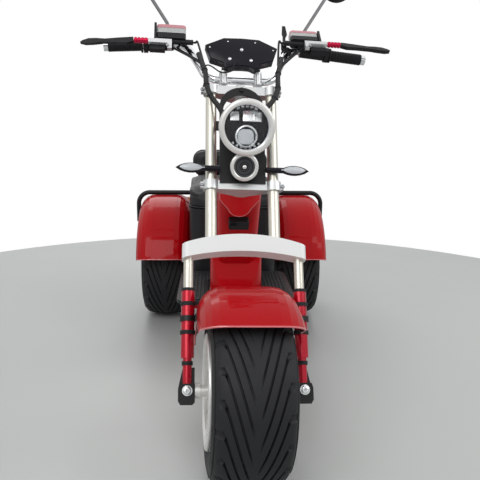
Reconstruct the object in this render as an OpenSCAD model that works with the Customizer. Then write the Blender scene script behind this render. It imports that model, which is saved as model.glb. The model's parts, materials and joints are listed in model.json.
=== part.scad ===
// Three-wheeled electric scooter with fat tyres and a long raked fork.
// Millimetres. It faces -Y, +Z is up and the ground is Z = 0.

/* [Overall] */
// Distance between front and rear axle
wheelbase = 1280; // [1240:10:1320]
// Distance from the rear axle to the rearmost lamp face
rear_overhang = 330; // [326:1:350]
// Distance between the middles of the rear tyres
rear_track = 572; // [560:2:590]
// Angle at which the steering is parked
steer_park = 4; // [0:1:8]
// Gap left where one piece sits in another
seat_gap = 0.2; // [0.1:0.05:0.4]
// Radial play of a turning shaft
run_gap = 0.05; // [0.02:0.01:0.09]

/* [Wheels] */
// Outer diameter of the tyres
tyre_d = 459; // [450:1:466]
// Width of a tyre over the sidewalls
tyre_w = 194; // [188:1:202]
// Rim diameter over its flanges, as a share of the tyre's
rim_share = 0.623; // [0.6:0.005:0.64]
// Width of a rim over its flanges
rim_w = 184; // [178:1:188]
// Thickness of a rim flange
flange_t = 7; // [5:0.5:9]
// Number of spokes in a rim
spokes = 5; // [4:1:6]
// Width of one spoke
spoke_w = 34; // [26:1:40]
// Diameter of the hub barrel
hub_d = 74; // [66:1:84]
// Diameter of the front axle
axle_d = 15; // [12:0.5:18]
// Brake disc diameter, as a share of the tyre's
disc_share = 0.37; // [0.36:0.005:0.38]
// Thickness of the brake disc
disc_t = 4; // [3:0.5:5]

/* [Fork] */
// Rake angle of the fork
rake = 27.5; // [26:0.5:29]
// Distance of the steering axis behind the fork legs
steer_offset = 45; // [42:1:52]
// Distance between the two lower legs
leg_spacing = 294; // [290:2:306]
// Diameter of the painted sliders
slider_d = 34; // [30:1:36]
// Height of the slider tops above the axle
slider_top = 250; // [240:2:260]
// Diameter of the chrome stanchions
stanchion_d = 25; // [22:1:27]
// Heights of the slider rings above the axle
ring_heights = [62, 139, 212];
// Height of the brace underside at its ends
brace_low = 334; // [328:1:346]
// Height of the brace at its ends
brace_h = 38; // [34:1:44]
// Rise of the brace arch in the middle
brace_rise = 28; // [20:1:34]
// Width over the brace
brace_w = 328; // [326:2:344]
// Distance between the two upper tubes
tube_spacing = 174; // [166:2:180]
// Diameter of the upper tubes
tube_d = 31; // [28:1:34]
// Distance of the upper tubes behind the lower legs
tube_back = 18; // [14:1:22]
// Height of the lower clamp underside above the axle
lower_clamp_at = 537; // [530:1:545]
// Height of the upper clamp underside above the axle
upper_clamp_at = 828; // [820:1:836]
// Thickness of both clamps
clamp_t = 26; // [22:1:30]
// Diameter of the steering stem
stem_d = 28; // [25:1:30]
// Diameter of the head tube
head_d = 52; // [46:1:56]

/* [Handlebar] */
// Diameter of the bar tube
bar_d = 22; // [20:1:24]
// Bend radius of the bar
bar_bend = 46; // [42:1:48]
// Half width of the level middle of the bar
bar_mid = 98; // [97:1:104]
// Half width at the upper bends of the bar
bar_knee = 160; // [152:1:166]
// Half width over the bar ends
bar_half = 399; // [390:1:410]
// Height of the bar middle above the axle
bar_low = 888; // [884:1:894]
// Height of the upper bends above the axle
bar_high = 1042; // [1034:1:1050]
// Drop of the bar from its bends to its ends
bar_drop = 19; // [10:1:26]
// Distance of the bar middle behind the lower legs
bar_back = 34; // [30:1:38]
// Distance of the grips behind the lower legs
grip_back = 100; // [92:1:108]
// Length of a grip
grip_l = 108; // [104:1:120]
// Diameter of a grip
grip_d = 34; // [31:1:37]

/* [Lamps] */
// Height of the headlight axis up the fork
lamp_at = 725; // [715:1:735]
// Distance of the headlight ahead of the lower legs
lamp_ahead = 110; // [106:1:116]
// Diameter over the headlight bezel
lamp_d = 150; // [140:1:154]
// Height of the horn axis up the fork
horn_at = 606; // [600:1:612]
// Distance of the horn ahead of the lower legs
horn_ahead = 40; // [38:1:44]
// Diameter of the horn
horn_d = 78; // [70:1:80]
// Height of the front signals up the fork
signal_at = 592; // [588:1:600]

/* [Fenders] */
// Gap between the front tyre and its fender
front_gap = 28; // [24:1:34]
// Width of the front fender
front_fender_w = 250; // [240:2:256]
// Gap between the rear tyres and their fenders
rear_gap = 84; // [76:1:92]
// Width of a rear fender
rear_fender_w = 226; // [222:1:230]
// Thickness of the fender shells
shell_t = 3; // [2.5:0.5:4]

/* [Body] */
// Height of the deck top
deck_z = 300; // [290:1:310]
// Width of the deck
deck_w = 400; // [380:5:410]
// Width of the seat
seat_w = 350; // [340:2:360]
// Height of the seat top
seat_z = 640; // [630:1:650]
// Thickness of the seat cushion
seat_t = 95; // [85:1:105]
// Height of the backrest top
backrest_z = 742; // [730:1:760]
// Width of the backrest
backrest_w = 340; // [320:2:350]

/* [Hidden] */
$fn = 48;

// Derived places
tyre_r = tyre_d / 2;
rim_d = tyre_d * rim_share;
rim_r = rim_d / 2;
lip_h = 16;
bead_d = rim_d - 2 * lip_h;
bead_r = bead_d / 2;
disc_d = tyre_d * disc_share;
front_y = (tyre_r - wheelbase - rear_overhang) / 2;
rear_y = front_y + wheelbase;
rear_x = rear_track / 2;
leg_x = leg_spacing / 2;
tube_x = tube_spacing / 2;
upper_clamp_top = upper_clamp_at + clamp_t;
bar_knee_p = [bar_knee, grip_back - 4, bar_high];
bar_end_p = [bar_half, grip_back, bar_high - bar_drop];
bar_dir = (bar_end_p - bar_knee_p) / norm(bar_end_p - bar_knee_p);

// Point on the bar's outer straight at half width x
function on_bar(x) = bar_knee_p + bar_dir * (x - bar_knee) / bar_dir.x;

// Points of an arc about c from angle a to b
function arc(c, r, a, b, n) =
    [for (i = [0 : n]) c + r * [cos(a + (b - a) * i / n), sin(a + (b - a) * i / n)]];

// An outline drawn for the upper half, completed by its mirror image
function both_sides(half) =
    concat(half, [for (i = [len(half) - 1 : -1 : 0]) [half[i].x, -half[i].y]]);

function unit(v) = v / norm(v);

// Frame of the front axle, turned to the parked steering angle; +Z runs up the fork
module fork() {
    translate([0, front_y, tyre_r])
    rotate([-rake, 0, 0])
    translate([0, steer_offset, 0])
    rotate([0, 0, steer_park])
    translate([0, -steer_offset, 0])
    children();
}

// Inside fork(): level axes again, with the origin on the front axle
module level() {
    rotate([rake, 0, 0]) children();
}

// Inside fork(): +Z points ahead and level, at a height up the fork
module facing_ahead(at, ahead) {
    translate([0, 0, at]) level() translate([0, -ahead, 0]) rotate([90, 0, 0]) children();
}

module both() {
    for (side = [-1, 1]) scale_side(side) children();
}

// The viewer's left is the mirror image of the right
// The same point on the other side of the scooter
function other_side(p) = [-p.x, p.y, p.z];

module scale_side(side) {
    if (side > 0) children();
    else mirror([1, 0, 0]) children();
}

// A straight rod between two points
module rod(p, q, d) {
    v = q - p;
    translate(p)
    rotate([0, acos(v.z / norm(v)), atan2(v.y, v.x)])
    cylinder(d = d, h = norm(v));
}

// A round tube along straight stretches joined by bends of radius r
module bent_tube(pts, d, r) {
    v = unit(pts[1] - pts[0]);
    tilt = acos(v.z);
    turn = atan2(v.y, v.x);
    translate(pts[0])
    rotate([0, tilt, turn])
    tube_run(pts, 0, d, r, [cos(tilt) * cos(turn), cos(tilt) * sin(turn), -sin(tilt)], 0);
}

// One stretch of a bent tube with the bend after it, then the rest of the tube.
// Here +Z runs along the stretch, e is where +X points, used is what the last bend took.
// A thin collar covers each seam
seam = 0.6;
module tube_run(pts, i, d, r, e, used) {
    way = unit(pts[i + 1] - pts[i]);
    first = i == 0 ? 0 : seam / 3;
    if (i > 0) translate([0, 0, -seam]) cylinder(d = d + seam / 5, h = 2 * seam);
    if (i + 2 < len(pts)) {
        next = unit(pts[i + 2] - pts[i + 1]);
        turn = acos(way * next);
        cut = r * tan(turn / 2);
        l = norm(pts[i + 1] - pts[i]) - used - cut;
        m = unit(next - way * (way * next));
        translate([0, 0, first]) cylinder(d = d, h = l - first - seam / 3);
        translate([0, 0, l - seam]) cylinder(d = d + seam / 5, h = 2 * seam);
        translate([0, 0, l])
        rotate([0, 0, atan2(m * cross(way, e), m * e)]) {
            translate([r, 0, 0])
            rotate([90, 0, 0])
            rotate([0, 0, 180 - turn])
            rotate_extrude(angle = turn)
            translate([r, 0])
            circle(d = d);
            translate([r * (1 - cos(turn)), 0, r * sin(turn)])
            rotate([0, turn, 0])
            tube_run(pts, i + 1, d, r, m * cos(turn) - way * sin(turn), cut);
        }
    } else {
        translate([0, 0, first]) cylinder(d = d, h = norm(pts[i + 1] - pts[i]) - used - first);
    }
}

// A flexible round lead through the given points
module lead(pts, d, steps) {
    last = len(pts) - 1;
    sides = 8;
    line = [for (i = [0 : last - 1]) for (k = [0 : steps - 1]) spline(pts, i, k / steps), pts[last]];
    count = len(line);
    ring = [for (i = [0 : count - 1])
        let (t = unit(line[min(i + 1, count - 1)] - line[max(i - 1, 0)]),
            a = unit(cross(t, [0.2, 1, 0.1])),
            b = cross(t, a))
        for (s = [0 : sides - 1]) line[i] + (a * cos(s * 360 / sides) + b * sin(s * 360 / sides)) * d / 2];
    skin = [for (i = [0 : count - 2]) for (s = [0 : sides - 1])
        let (t = (s + 1) % sides)
        [i * sides + s, i * sides + t, (i + 1) * sides + t, (i + 1) * sides + s]];
    ends = [[for (s = [sides - 1 : -1 : 0]) s], [for (s = [0 : sides - 1]) (count - 1) * sides + s]];
    polyhedron(ring, concat(skin, ends));
}

// A smooth curve through the points of a lead, between points i and i + 1
function spline(p, i, t) =
    let (a = p[max(i - 1, 0)], b = p[i], c = p[i + 1], d = p[min(i + 2, len(p) - 1)])
    0.5 * (2 * b + (c - a) * t + (2 * a - 5 * b + 4 * c - d) * t * t + (3 * b - a - 3 * c + d) * t * t * t);

// A box with rounded upright edges
module rounded_box(x, y, z, r) {
    translate([-x / 2 + r, -y / 2, 0]) cube([x - 2 * r, y, z]);
    translate([-x / 2, -y / 2 + r, 0]) cube([x, y - 2 * r, z]);
    for (sx = [-1, 1], sy = [-1, 1])
        translate([sx * (x / 2 - r), sy * (y / 2 - r), 0]) cylinder(r = r, h = z);
}

// Wheels

// Half the outline of a tyre as radius and width, from the crown to the bead
crown_r = 300;
section = tyre_r - rim_r;
shoulder_r = 0.31 * section;
wall_r = 0.69 * section;
wall_c = [tyre_r - 0.543 * section, tyre_w / 2 - wall_r];
shoulder_c = [tyre_r - 0.416 * section, tyre_w / 2 - 0.358 * section];
tyre_bead = rim_w / 2 - flange_t - seat_gap;
tyre_half = concat(
    arc([tyre_r - crown_r, 0], crown_r, 0, asin(shoulder_c.y / crown_r), 4),
    arc(shoulder_c, shoulder_r, 12, 74, 3),
    arc(wall_c, wall_r, 70, 128, 4),
    [[rim_r + 1, tyre_bead], [bead_r + seat_gap, tyre_bead]]);

module tyre() {
    color("#1b1b1c")
    rotate([0, 90, 0])
    rotate_extrude()
    polygon(both_sides(tyre_half));
}

// Rim with its face toward +X; the barrel is open on the other side
barrel_t = 6;
well_d = bead_d - 26;
face_t = 16;
face_x = 34;
module rim(bore, hub_in, hub_out) {
    color("#b9bcc0")
    rotate([0, 90, 0])
    difference() {
        union() {
            rotate_extrude() polygon(rim_outline());
            translate([0, 0, face_x]) linear_extrude(face_t) spoke_plan();
            translate([0, 0, -hub_in]) cylinder(d = hub_d, h = hub_in + hub_out);
        }
        translate([0, 0, -hub_in - 1]) cylinder(d = bore, h = hub_in + hub_out + 2);
    }
}

function rim_outline() =
    let (w = rim_w / 2, f = flange_t, b = bead_r, t = barrel_t, c = well_d / 2)
    [[b - t, -w], [rim_r, -w], [rim_r, -w + f], [b, -w + f], [b, -w + 30], [c, -w + 48], [c, w - 48],
        [b, w - 30], [b, w - f], [rim_r, w - f], [rim_r, w], [b - t, w], [b - t, w - 30], [c - t, w - 48],
        [c - t, -w + 48], [b - t, -w + 30]];

module spoke_plan() {
    difference() {
        circle(d = well_d - barrel_t);
        difference() {
            circle(d = well_d - 2 * barrel_t - 14);
            circle(d = hub_d + 26);
            for (i = [0 : spokes - 1])
                rotate(i * 360 / spokes) translate([0, -spoke_w / 2]) square([well_d, spoke_w]);
        }
    }
}

hub_half = 72;
module front_tyre() {
    fork() tyre();
}

module front_rim() {
    fork() mirror([1, 0, 0]) rim(axle_d + 2 * run_gap, hub_half, hub_half);
}

disc_x = hub_half - disc_t - 6;
module front_disc() {
    color("#8e9196")
    fork()
    translate([disc_x, 0, 0])
    rotate([0, 90, 0])
    difference() {
        cylinder(d = disc_d, h = disc_t);
        translate([0, 0, -1]) cylinder(d = hub_d + 2 * seat_gap, h = disc_t + 2);
        for (i = [0 : 11])
            rotate(i * 30) translate([disc_d * 0.41, 0, -1]) cylinder(d = 9, h = disc_t + 2, $fn = 24);
    }
}

stub_d = 30;
stub_l = 60;
rear_hub_in = 62;
module rear_rim(side) {
    color("#b9bcc0")
    translate([side * rear_x, rear_y, tyre_r])
    scale_side(side) {
        rim(stub_d / 2, rear_hub_in, face_x + face_t);
        rotate([0, -90, 0]) cylinder(d = stub_d, h = rear_hub_in + stub_l);
    }
}

module rear_tyre_left() {
    translate([rear_x, rear_y, tyre_r]) tyre();
}

module rear_tyre_right() {
    translate([-rear_x, rear_y, tyre_r]) tyre();
}

module rear_rim_left() {
    rear_rim(1);
}

module rear_rim_right() {
    rear_rim(-1);
}

// Fork

boss_d = tube_d + 14;
stem_boss_d = stem_d + 24;
web_front = 6;
module clamp_plan() {
    for (side = [-1, 1])
        translate([side * tube_x, tube_back]) circle(d = boss_d);
    translate([0, steer_offset]) circle(d = stem_boss_d);
    translate([-tube_x, web_front]) square([2 * tube_x, 26]);
    polygon([[-tube_x, tube_back + 8], [tube_x, tube_back + 8],
        [18, steer_offset + 18], [-18, steer_offset + 18]]);
}

module clamp_plate(at) {
    translate([0, 0, at])
    difference() {
        union() {
            linear_extrude(clamp_t) clamp_plan();
            for (side = [-1, 1])
                translate([side * (tube_x + 17), tube_back - 8, clamp_t / 2 - 8]) cube_at(side, 12, 16, 16);
        }
        for (side = [-1, 1])
            translate([side * tube_x, tube_back, -1]) cylinder(d = tube_d + 2 * seat_gap, h = clamp_t + 2);
        translate([0, steer_offset, -1]) cylinder(d = stem_d + 2 * seat_gap, h = clamp_t + 2);
    }
}

// A box that grows outward from the middle plane
module cube_at(side, x, y, z) {
    translate([side > 0 ? 0 : -x, 0, 0]) cube([x, y, z]);
}

stem_top = upper_clamp_top + 6;
nut_t = 18;
module lower_clamp() {
    color("#a9acb0")
    fork() {
        clamp_plate(lower_clamp_at);
        translate([0, steer_offset, lower_clamp_at + 2])
            cylinder(d = stem_d, h = stem_top - lower_clamp_at - 2);
        translate([0, steer_offset, lower_clamp_at]) cylinder(d = stem_d + 6, h = 4);
    }
}

module upper_clamp() {
    color("#a9acb0")
    fork() {
        clamp_plate(upper_clamp_at);
        difference() {
            translate([0, steer_offset, upper_clamp_top]) cylinder(d = 38, h = nut_t, $fn = 6);
            translate([0, steer_offset, upper_clamp_top - 1]) cylinder(d = stem_d + 2 * seat_gap, h = 8);
        }
    }
}

tube_low = brace_low + brace_h - 6;
module fork_tubes() {
    color("#c8ccd2")
    fork()
    both() {
        translate([tube_x, tube_back, tube_low]) cylinder(d = tube_d, h = upper_clamp_top + 5 - tube_low);
        translate([leg_x, 0, slider_top - 60])
            cylinder(d = stanchion_d, h = brace_low + brace_h - 10 - slider_top + 60);
    }
}

brace_depth = 64;
brace_front = -30;
top_r = (pow(brace_w / 2, 2) + pow(brace_rise, 2)) / (2 * brace_rise);
under_rise = brace_rise - 8;
under_r = (pow(brace_w / 2, 2) + pow(under_rise, 2)) / (2 * under_rise);
module fork_brace() {
    color("#eeeeec")
    fork()
    difference() {
        intersection() {
            translate([0, brace_front + brace_depth, 0])
            rotate([90, 0, 0])
            linear_extrude(brace_depth)
            intersection() {
                difference() {
                    translate([0, brace_low + brace_h + brace_rise - top_r]) circle(r = top_r, $fn = 180);
                    translate([0, brace_low + under_rise - under_r]) circle(r = under_r, $fn = 180);
                }
                translate([-brace_w, brace_low - 20]) square([2 * brace_w, 140]);
            }
            translate([0, brace_front + brace_depth / 2, brace_low - 20])
                rounded_box(brace_w, brace_depth, 140, 15);
        }
        for (side = [-1, 1]) {
            translate([side * leg_x, 0, brace_low - 20])
                cylinder(d = stanchion_d + 2 * seat_gap, h = brace_h + 10);
            translate([side * tube_x, tube_back, tube_low])
                cylinder(d = tube_d + 2 * seat_gap, h = 80);
        }
    }
}

// Each slider narrows to a toe that sits in the lug
slider_low = 80;
toe_low = 17;
toe_d = 23;
module fork_sliders() {
    color("#b01226")
    fork()
    both()
    translate([leg_x, 0, 0])
    difference() {
        union() {
            translate([0, 0, slider_low]) cylinder(d = slider_d, h = slider_top - slider_low);
            translate([0, 0, toe_low]) cylinder(d = toe_d, h = slider_low - toe_low + 1);
        }
        translate([0, 0, slider_top - 62]) cylinder(d = stanchion_d + 2 * seat_gap, h = 80);
    }
}

ring_h = 10;
module slider_rings() {
    color("#141415")
    fork()
    both() {
        for (h = ring_heights)
            collar(h, ring_h, h < slider_low ? toe_d : slider_d, 5);
        collar(slider_top, 8, stanchion_d, 10);
    }
}

// A ring of height h about a fork leg of diameter d, wider by add
module collar(at, h, d, add) {
    translate([leg_x, 0, at])
    difference() {
        cylinder(d = d + add, h = h);
        translate([0, 0, -1]) cylinder(d = d + 2 * seat_gap, h = h + 2);
    }
}

// Reach of a lug from the leg's middle: inward, outward, ahead, back, below the axle and above
lug_in = 19;
lug_out = 22;
lug_front = 19;
lug_back = 30;
lug_low = -34;
lug_top = 57;
lug_foot = [[-lug_in, lug_low + 6], [6 - lug_in, lug_low], [lug_out - 6, lug_low], [lug_out, lug_low + 10],
    [lug_out, 6], [lug_out - 4, toe_low], [-lug_in, toe_low]];
lug_web = [[-lug_in, 0], [lug_out, 0], [lug_out, 6], [lug_out - 11, lug_top], [-lug_in, lug_top]];
module axle_lugs() {
    color("#18181a")
    fork()
    both()
    translate([leg_x, 0, 0])
    difference() {
        union() {
            translate([0, lug_back, 0])
            rotate([90, 0, 0]) {
                linear_extrude(lug_back + lug_front) polygon(lug_foot);
                linear_extrude(lug_back - 2) polygon(lug_web);
            }
            translate([0, -lug_front + 1, 0]) rotate([90, 0, 0]) cylinder(d = 27, h = 3);
        }
        translate([0, 0, toe_low]) cylinder(d = toe_d + 2 * seat_gap, h = lug_top);
        translate([-50, 0, 0]) rotate([0, 90, 0]) cylinder(d = axle_d + 2 * seat_gap, h = 100);
    }
}

axle_half = leg_x + lug_out - 1;
spacer_d = 30;
module front_axle() {
    color("#b4b7bb")
    fork()
    both()
    rotate([0, 90, 0]) {
        cylinder(d = axle_d, h = axle_half);
        translate([0, 0, hub_half + 1]) cylinder(d = spacer_d, h = leg_x - lug_in - hub_half - 1 - seat_gap);
        translate([0, 0, leg_x - lug_in - 14]) cylinder(d = spacer_d + 8, h = 14 - seat_gap);
    }
}

// Fenders are shells swept about the wheel axis

// Half the outline of a fender shell as radius and width
function shell_half(r, w, corner, skirt, t) = concat(
    [[r, 0]], arc([r - corner, w / 2 - corner], corner, 0, 90, 5), [[skirt, w / 2], [skirt, w / 2 - t]],
    [for (i = [5 : -1 : 0])
        [r - corner, w / 2 - corner] + (corner - t) * [cos(i * 18), sin(i * 18)]], [[r - t, 0]]);

// A fender from the front angle to the rear angle, both above level
module fender_shell(half, front, rear) {
    rotate([0, 90, 0])
    rotate([0, 0, 90 + rear])
    rotate_extrude(angle = 180 - front - rear)
    polygon(both_sides(half));
}

front_fender_r = tyre_r + front_gap + shell_t;
// The front lip slopes down to the rear from a point on the crown, given from the axle
fender_round = 66;
fender_skirt = tyre_r - 56;
lip_angle = 58;
lip_ahead = front_fender_r * cos(lip_angle);
lip_up = front_fender_r * sin(lip_angle);
lip_slope = 28;
module front_fender() {
    color("#a80f22")
    fork()
    level()
    difference() {
        fender_shell(shell_half(front_fender_r, front_fender_w, fender_round, fender_skirt, shell_t), 50, 18);
        translate([-front_fender_w, -lip_ahead, lip_up])
            rotate([-lip_slope, 0, 0])
            translate([0, -2 * front_fender_r, -2 * front_fender_r])
            cube([2 * front_fender_w, 4 * front_fender_r, 2 * front_fender_r]);
    }
}

stay_t = 4;
stay_at = 172;
stay_h = 14;
module fender_stays() {
    color("#18181a")
    fork()
    both()
    difference() {
        union() {
            translate([leg_x, 0, stay_at]) cylinder(d = slider_d + 8, h = stay_h);
            translate([front_fender_w / 2 + seat_gap, -16, stay_at]) cube([stay_t, 32, stay_h + 4]);
            translate([front_fender_w / 2 + seat_gap, -5, stay_at])
                cube([leg_x - front_fender_w / 2, 10, stay_h]);
        }
        translate([leg_x, 0, stay_at - 1]) cylinder(d = slider_d + 2 * seat_gap, h = stay_h + 2);
    }
}

caliper_gap = 3;
caliper_in = disc_d / 2 - 29;
// Its arm runs from the lug to the caliper's outer side
arm_x = disc_x + disc_t + 18;
module front_caliper() {
    color("#2a2a2c")
    fork() {
        translate([disc_x + disc_t / 2, 0, 0])
        rotate([30, 0, 0])
        difference() {
            translate([-22, caliper_in, -22]) cube([46, 44, 44]);
            translate([-disc_t / 2 - caliper_gap, 0, -40])
                cube([disc_t + 2 * caliper_gap, disc_d / 2 + caliper_gap, 80]);
        }
        translate([arm_x, lug_back + seat_gap, 8]) cube([leg_x + 10 - arm_x, 12, 20]);
        translate([arm_x, lug_back + seat_gap, 8]) cube([12, 40, 20]);
    }
}

// Lamps and horn

bracket_half = 64;
bracket_t = 4;
bracket_low = lower_clamp_at + clamp_t - 9;
arch_c = 784;
ear_y = 118;
module lamp_bracket() {
    color("#1f1f21")
    fork() {
        difference() {
            translate([0, web_front, 0])
            rotate([90, 0, 0])
            linear_extrude(bracket_t)
            difference() {
                union() {
                    translate([-bracket_half, bracket_low]) square([2 * bracket_half, arch_c - bracket_low]);
                    translate([0, arch_c]) circle(r = bracket_half);
                    translate([-75, lamp_at - 14]) square([150, 28]);
                }
                translate([0, arch_c - 14]) circle(r = bracket_half - 10);
                translate([-40, arch_c - 90]) square([80, 70]);
            }
        }
        facing_ahead(lamp_at, lamp_ahead)
        for (side = [-1, 1])
            translate([side * (bucket_r + seat_gap), -12, -ear_y]) cube_at(side, 3, 24, ear_y - 10);
        translate([0, web_front - bracket_t, upper_clamp_at + 12])
            rotate([90, 0, 0])
            cylinder(d = 14, h = 5, $fn = 6);
    }
}

bezel_t = 16;
lens_r = lamp_d / 2 - 9;
bucket_r = lamp_d / 2 - 12;
bucket_half = concat([[0, -84], [36, -84]], [[56, -66], [bucket_r, -24], [bucket_r, 0]],
    [[lamp_d / 2, 2], [lamp_d / 2, bezel_t - 5], [lamp_d / 2 - 4, bezel_t], [lens_r, bezel_t],
        [lens_r, 2], [bucket_r - 4, 0], [bucket_r - 4, -24], [50, -62], [34, -79], [0, -79]]);
module headlight_shell() {
    color("#c9ccd1")
    fork()
    facing_ahead(lamp_at, lamp_ahead)
    rotate_extrude($fn = 96)
    polygon(bucket_half);
}

projector_d = 62;
projector_drop = 20;
module headlight_projector() {
    color("#9fa3a8")
    fork()
    facing_ahead(lamp_at, lamp_ahead)
    difference() {
        union() {
            translate([0, 0, -16]) cylinder(r = bucket_r - 4 - seat_gap, h = 6, $fn = 96);
            translate([0, -projector_drop, -12]) cylinder(d = projector_d, h = 16);
        }
        translate([0, -projector_drop, 0]) cylinder(d = projector_d - 8, h = 10);
    }
}

dome_r = 300;
lens_edge = asin((lens_r - seat_gap) / dome_r);
// Point of the lens dome: a share of the way to its edge, and the height of its crown
function on_dome(share, crown) =
    dome_r * [sin(lens_edge * share), cos(lens_edge * share)] + [0, crown - dome_r];
module headlight_lens() {
    color("#dfe6ea")
    fork()
    facing_ahead(lamp_at, lamp_ahead)
    rotate_extrude($fn = 96)
    polygon(concat(
        [for (i = [0 : 6]) on_dome(i / 6, bezel_t - 2)],
        [for (i = [6 : -1 : 0]) on_dome(i / 6, bezel_t - 5)]));
}

horn_r = horn_d / 2;
module horn() {
    color("#2b2b2d")
    fork()
    difference() {
        facing_ahead(horn_at, horn_ahead) {
            rotate_extrude()
            polygon([[0, -22], [22, -22], [24, -12], [horn_r - 3, -10], [horn_r, -6], [horn_r, 2],
                [horn_r - 2, 5], [horn_r - 6, 5], [horn_r - 8, 1], [25, 1], [24, 4], [21, 4], [20, 0],
                [16, 0], [15, 5], [0, 5]]);
            translate([0, 8, -70]) cylinder(d = 16, h = 60);
        }
        translate([-50, web_front - bracket_t - seat_gap, horn_at - 80]) cube([100, 100, 160]);
    }
}

signal_root = 70;
signal_tip = 186;
signal_r = 14;
// Half the outline of a signal, from root to tip
signal_half = concat([[0, 0], [8, 0], [8, 30]],
    [for (i = [1 : 6]) [signal_r * pow(sin(i * 180 / 7), 0.7), 30 + (signal_tip - signal_root - 30) * i / 7]],
    [[0, signal_tip - signal_root]]);

module signal_form(shrink) {
    translate([signal_root, -6, signal_at])
    rotate([0, 90, 0])
    rotate_extrude()
    polygon([for (p = signal_half) [max(p.x - shrink, 0), p.y]]);
}

module signal_bodies() {
    color("#161617")
    fork()
    both()
    difference() {
        union() {
            signal_form(0);
            translate([bracket_half, -6, signal_at]) rotate([0, 90, 0]) cylinder(d = 16, h = 8);
        }
        translate([signal_root + 36, -40, signal_at - 20]) cube([200, 28, 40]);
    }
}

module signal_lenses() {
    color("#e4e2da")
    fork()
    both()
    intersection() {
        signal_form(1.5);
        translate([signal_root + 36, -40, signal_at - 20]) cube([200, 28 - seat_gap, 40]);
    }
}

// Handlebar and controls

riser_x = 51;
riser_t = 36;
riser_top = bar_low + 16;
module bar_risers() {
    color("#9a9da1")
    fork()
    both()
    translate([riser_x, bar_back, 0])
    difference() {
        translate([0, 0, upper_clamp_top]) rounded_box(24, riser_t, riser_top - upper_clamp_top, 6);
        translate([-20, 0, bar_low]) rotate([0, 90, 0]) cylinder(d = bar_d + 2 * seat_gap, h = 40);
    }
}

cap_in = 3;
module handlebar() {
    color("#c8ccd2")
    fork() {
        bent_tube([other_side(bar_end_p), other_side(bar_knee_p), [-bar_mid, bar_back, bar_low],
            [bar_mid, bar_back, bar_low], bar_knee_p, bar_end_p], bar_d, bar_bend);
        both() rod(bar_end_p - bar_dir * cap_in, bar_end_p + bar_dir * 10, 30);
    }
}

module grips() {
    color("#161617")
    fork()
    both() {
        difference() {
            union() {
                rod(on_bar(bar_half - grip_l), on_bar(bar_half - cap_in - 0.5), grip_d);
                rod(on_bar(bar_half - grip_l), on_bar(bar_half - grip_l + 6), grip_d + 10);
            }
            rod(on_bar(bar_half - grip_l - 5), on_bar(bar_half + 5), bar_d + 2 * seat_gap);
        }
    }
}

// The controls start where the bar's outer straight does
knee_in = unit(bar_knee_p - [bar_mid, bar_back, bar_low]);
control_in = bar_knee + bar_bend * tan(acos(knee_in * bar_dir) / 2) + 4;
control_out = bar_half - grip_l - 1;
sleeve_d = 36;
pod_x = 223;
post_x = pod_x - 5;

// The hand controls are turned about the bar by a different angle on each side
turn_left = 0;
turn_right = -22;
function control_turn(side) = side < 0 ? turn_left : turn_right;

// Frame of one hand control: +X runs outward along the bar, -Y ahead
module at_controls() {
    for (side = [-1, 1])
        scale_side(side)
        translate(on_bar(pod_x))
        rotate([control_turn(side), 0, 0])
        children();
}

function control_point(p, side) =
    let (t = control_turn(side))
    on_bar(pod_x) + [p.x, p.y * cos(t) - p.z * sin(t), p.y * sin(t) + p.z * cos(t)];

pod_front = -54;
pod_in = -62;
pod_out = 26;
pod_top = 8;
arm_y = -40;
module brake_controls() {
    color("#1a1a1c")
    fork()
    difference() {
        union() {
            both() {
                rod(on_bar(control_in), on_bar(control_out), sleeve_d);
                rod(on_bar(control_out - 14), on_bar(control_out - 1), sleeve_d + 9);
                translate(on_bar(post_x) + [0, 8, 0]) cylinder(d = 18, h = 26);
            }
            at_controls() {
                translate([(pod_in + pod_out) / 2, pod_front + 17, -10])
                    rounded_box(pod_out - pod_in, 34, 10 + pod_top, 8);
                translate([-6, pod_front + 20, -10]) cube([pod_out + 6, -pod_front - 24, 10 + pod_top]);
                translate([pod_in - 22, -38, -12]) rotate([0, 90, 0]) cylinder(d = 16, h = 60);
                translate([pod_out, pod_front, -13]) cube([7, 60, 53]);
                translate([0, arm_y, -42]) cube([46, 20, 36]);
            }
        }
        both() rod(on_bar(control_in - 2), on_bar(bar_half), bar_d + 2 * seat_gap);
    }
}

cup_h = 16;
cup_w = pod_out - pod_in - 1;
module reservoirs() {
    color("#d9d6d2")
    fork()
    at_controls()
    translate([(pod_in + pod_out - 1) / 2, pod_front + 17, pod_top + seat_gap])
    rounded_box(cup_w, 33, cup_h, 9);
}

module reservoir_caps() {
    color("#d8a9ad")
    fork()
    at_controls()
    translate([(pod_in + pod_out - 1) / 2, pod_front + 17, pod_top + cup_h + 2 * seat_gap]) {
        rounded_box(cup_w, 35, 10, 10);
        translate([0, 0, 9]) rounded_box(cup_w - 16, 24, 5, 9);
    }
}

// The bright angle that carries each lever
module lever_brackets() {
    color("#b4b7bb")
    fork()
    at_controls()
    translate([0, arm_y - seat_gap, -14])
    rotate([90, 0, 0])
    linear_extrude(13)
    polygon([[-20, 0], [50, 0], [50, -13], [-7, -13], [-7, -30], [-20, -30]]);
}

adjuster_l = 42;
lever_y = -47;
lever_z = -20;
module lever_adjusters() {
    color("#d0284a")
    fork()
    at_controls()
    translate([50 + seat_gap, lever_y, lever_z])
    rotate([0, 90, 0]) {
        cylinder(d = 14, h = adjuster_l);
        for (x = [4, 14, 24, 34])
            translate([0, 0, x]) cylinder(d = 18, h = 6);
    }
}

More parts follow.
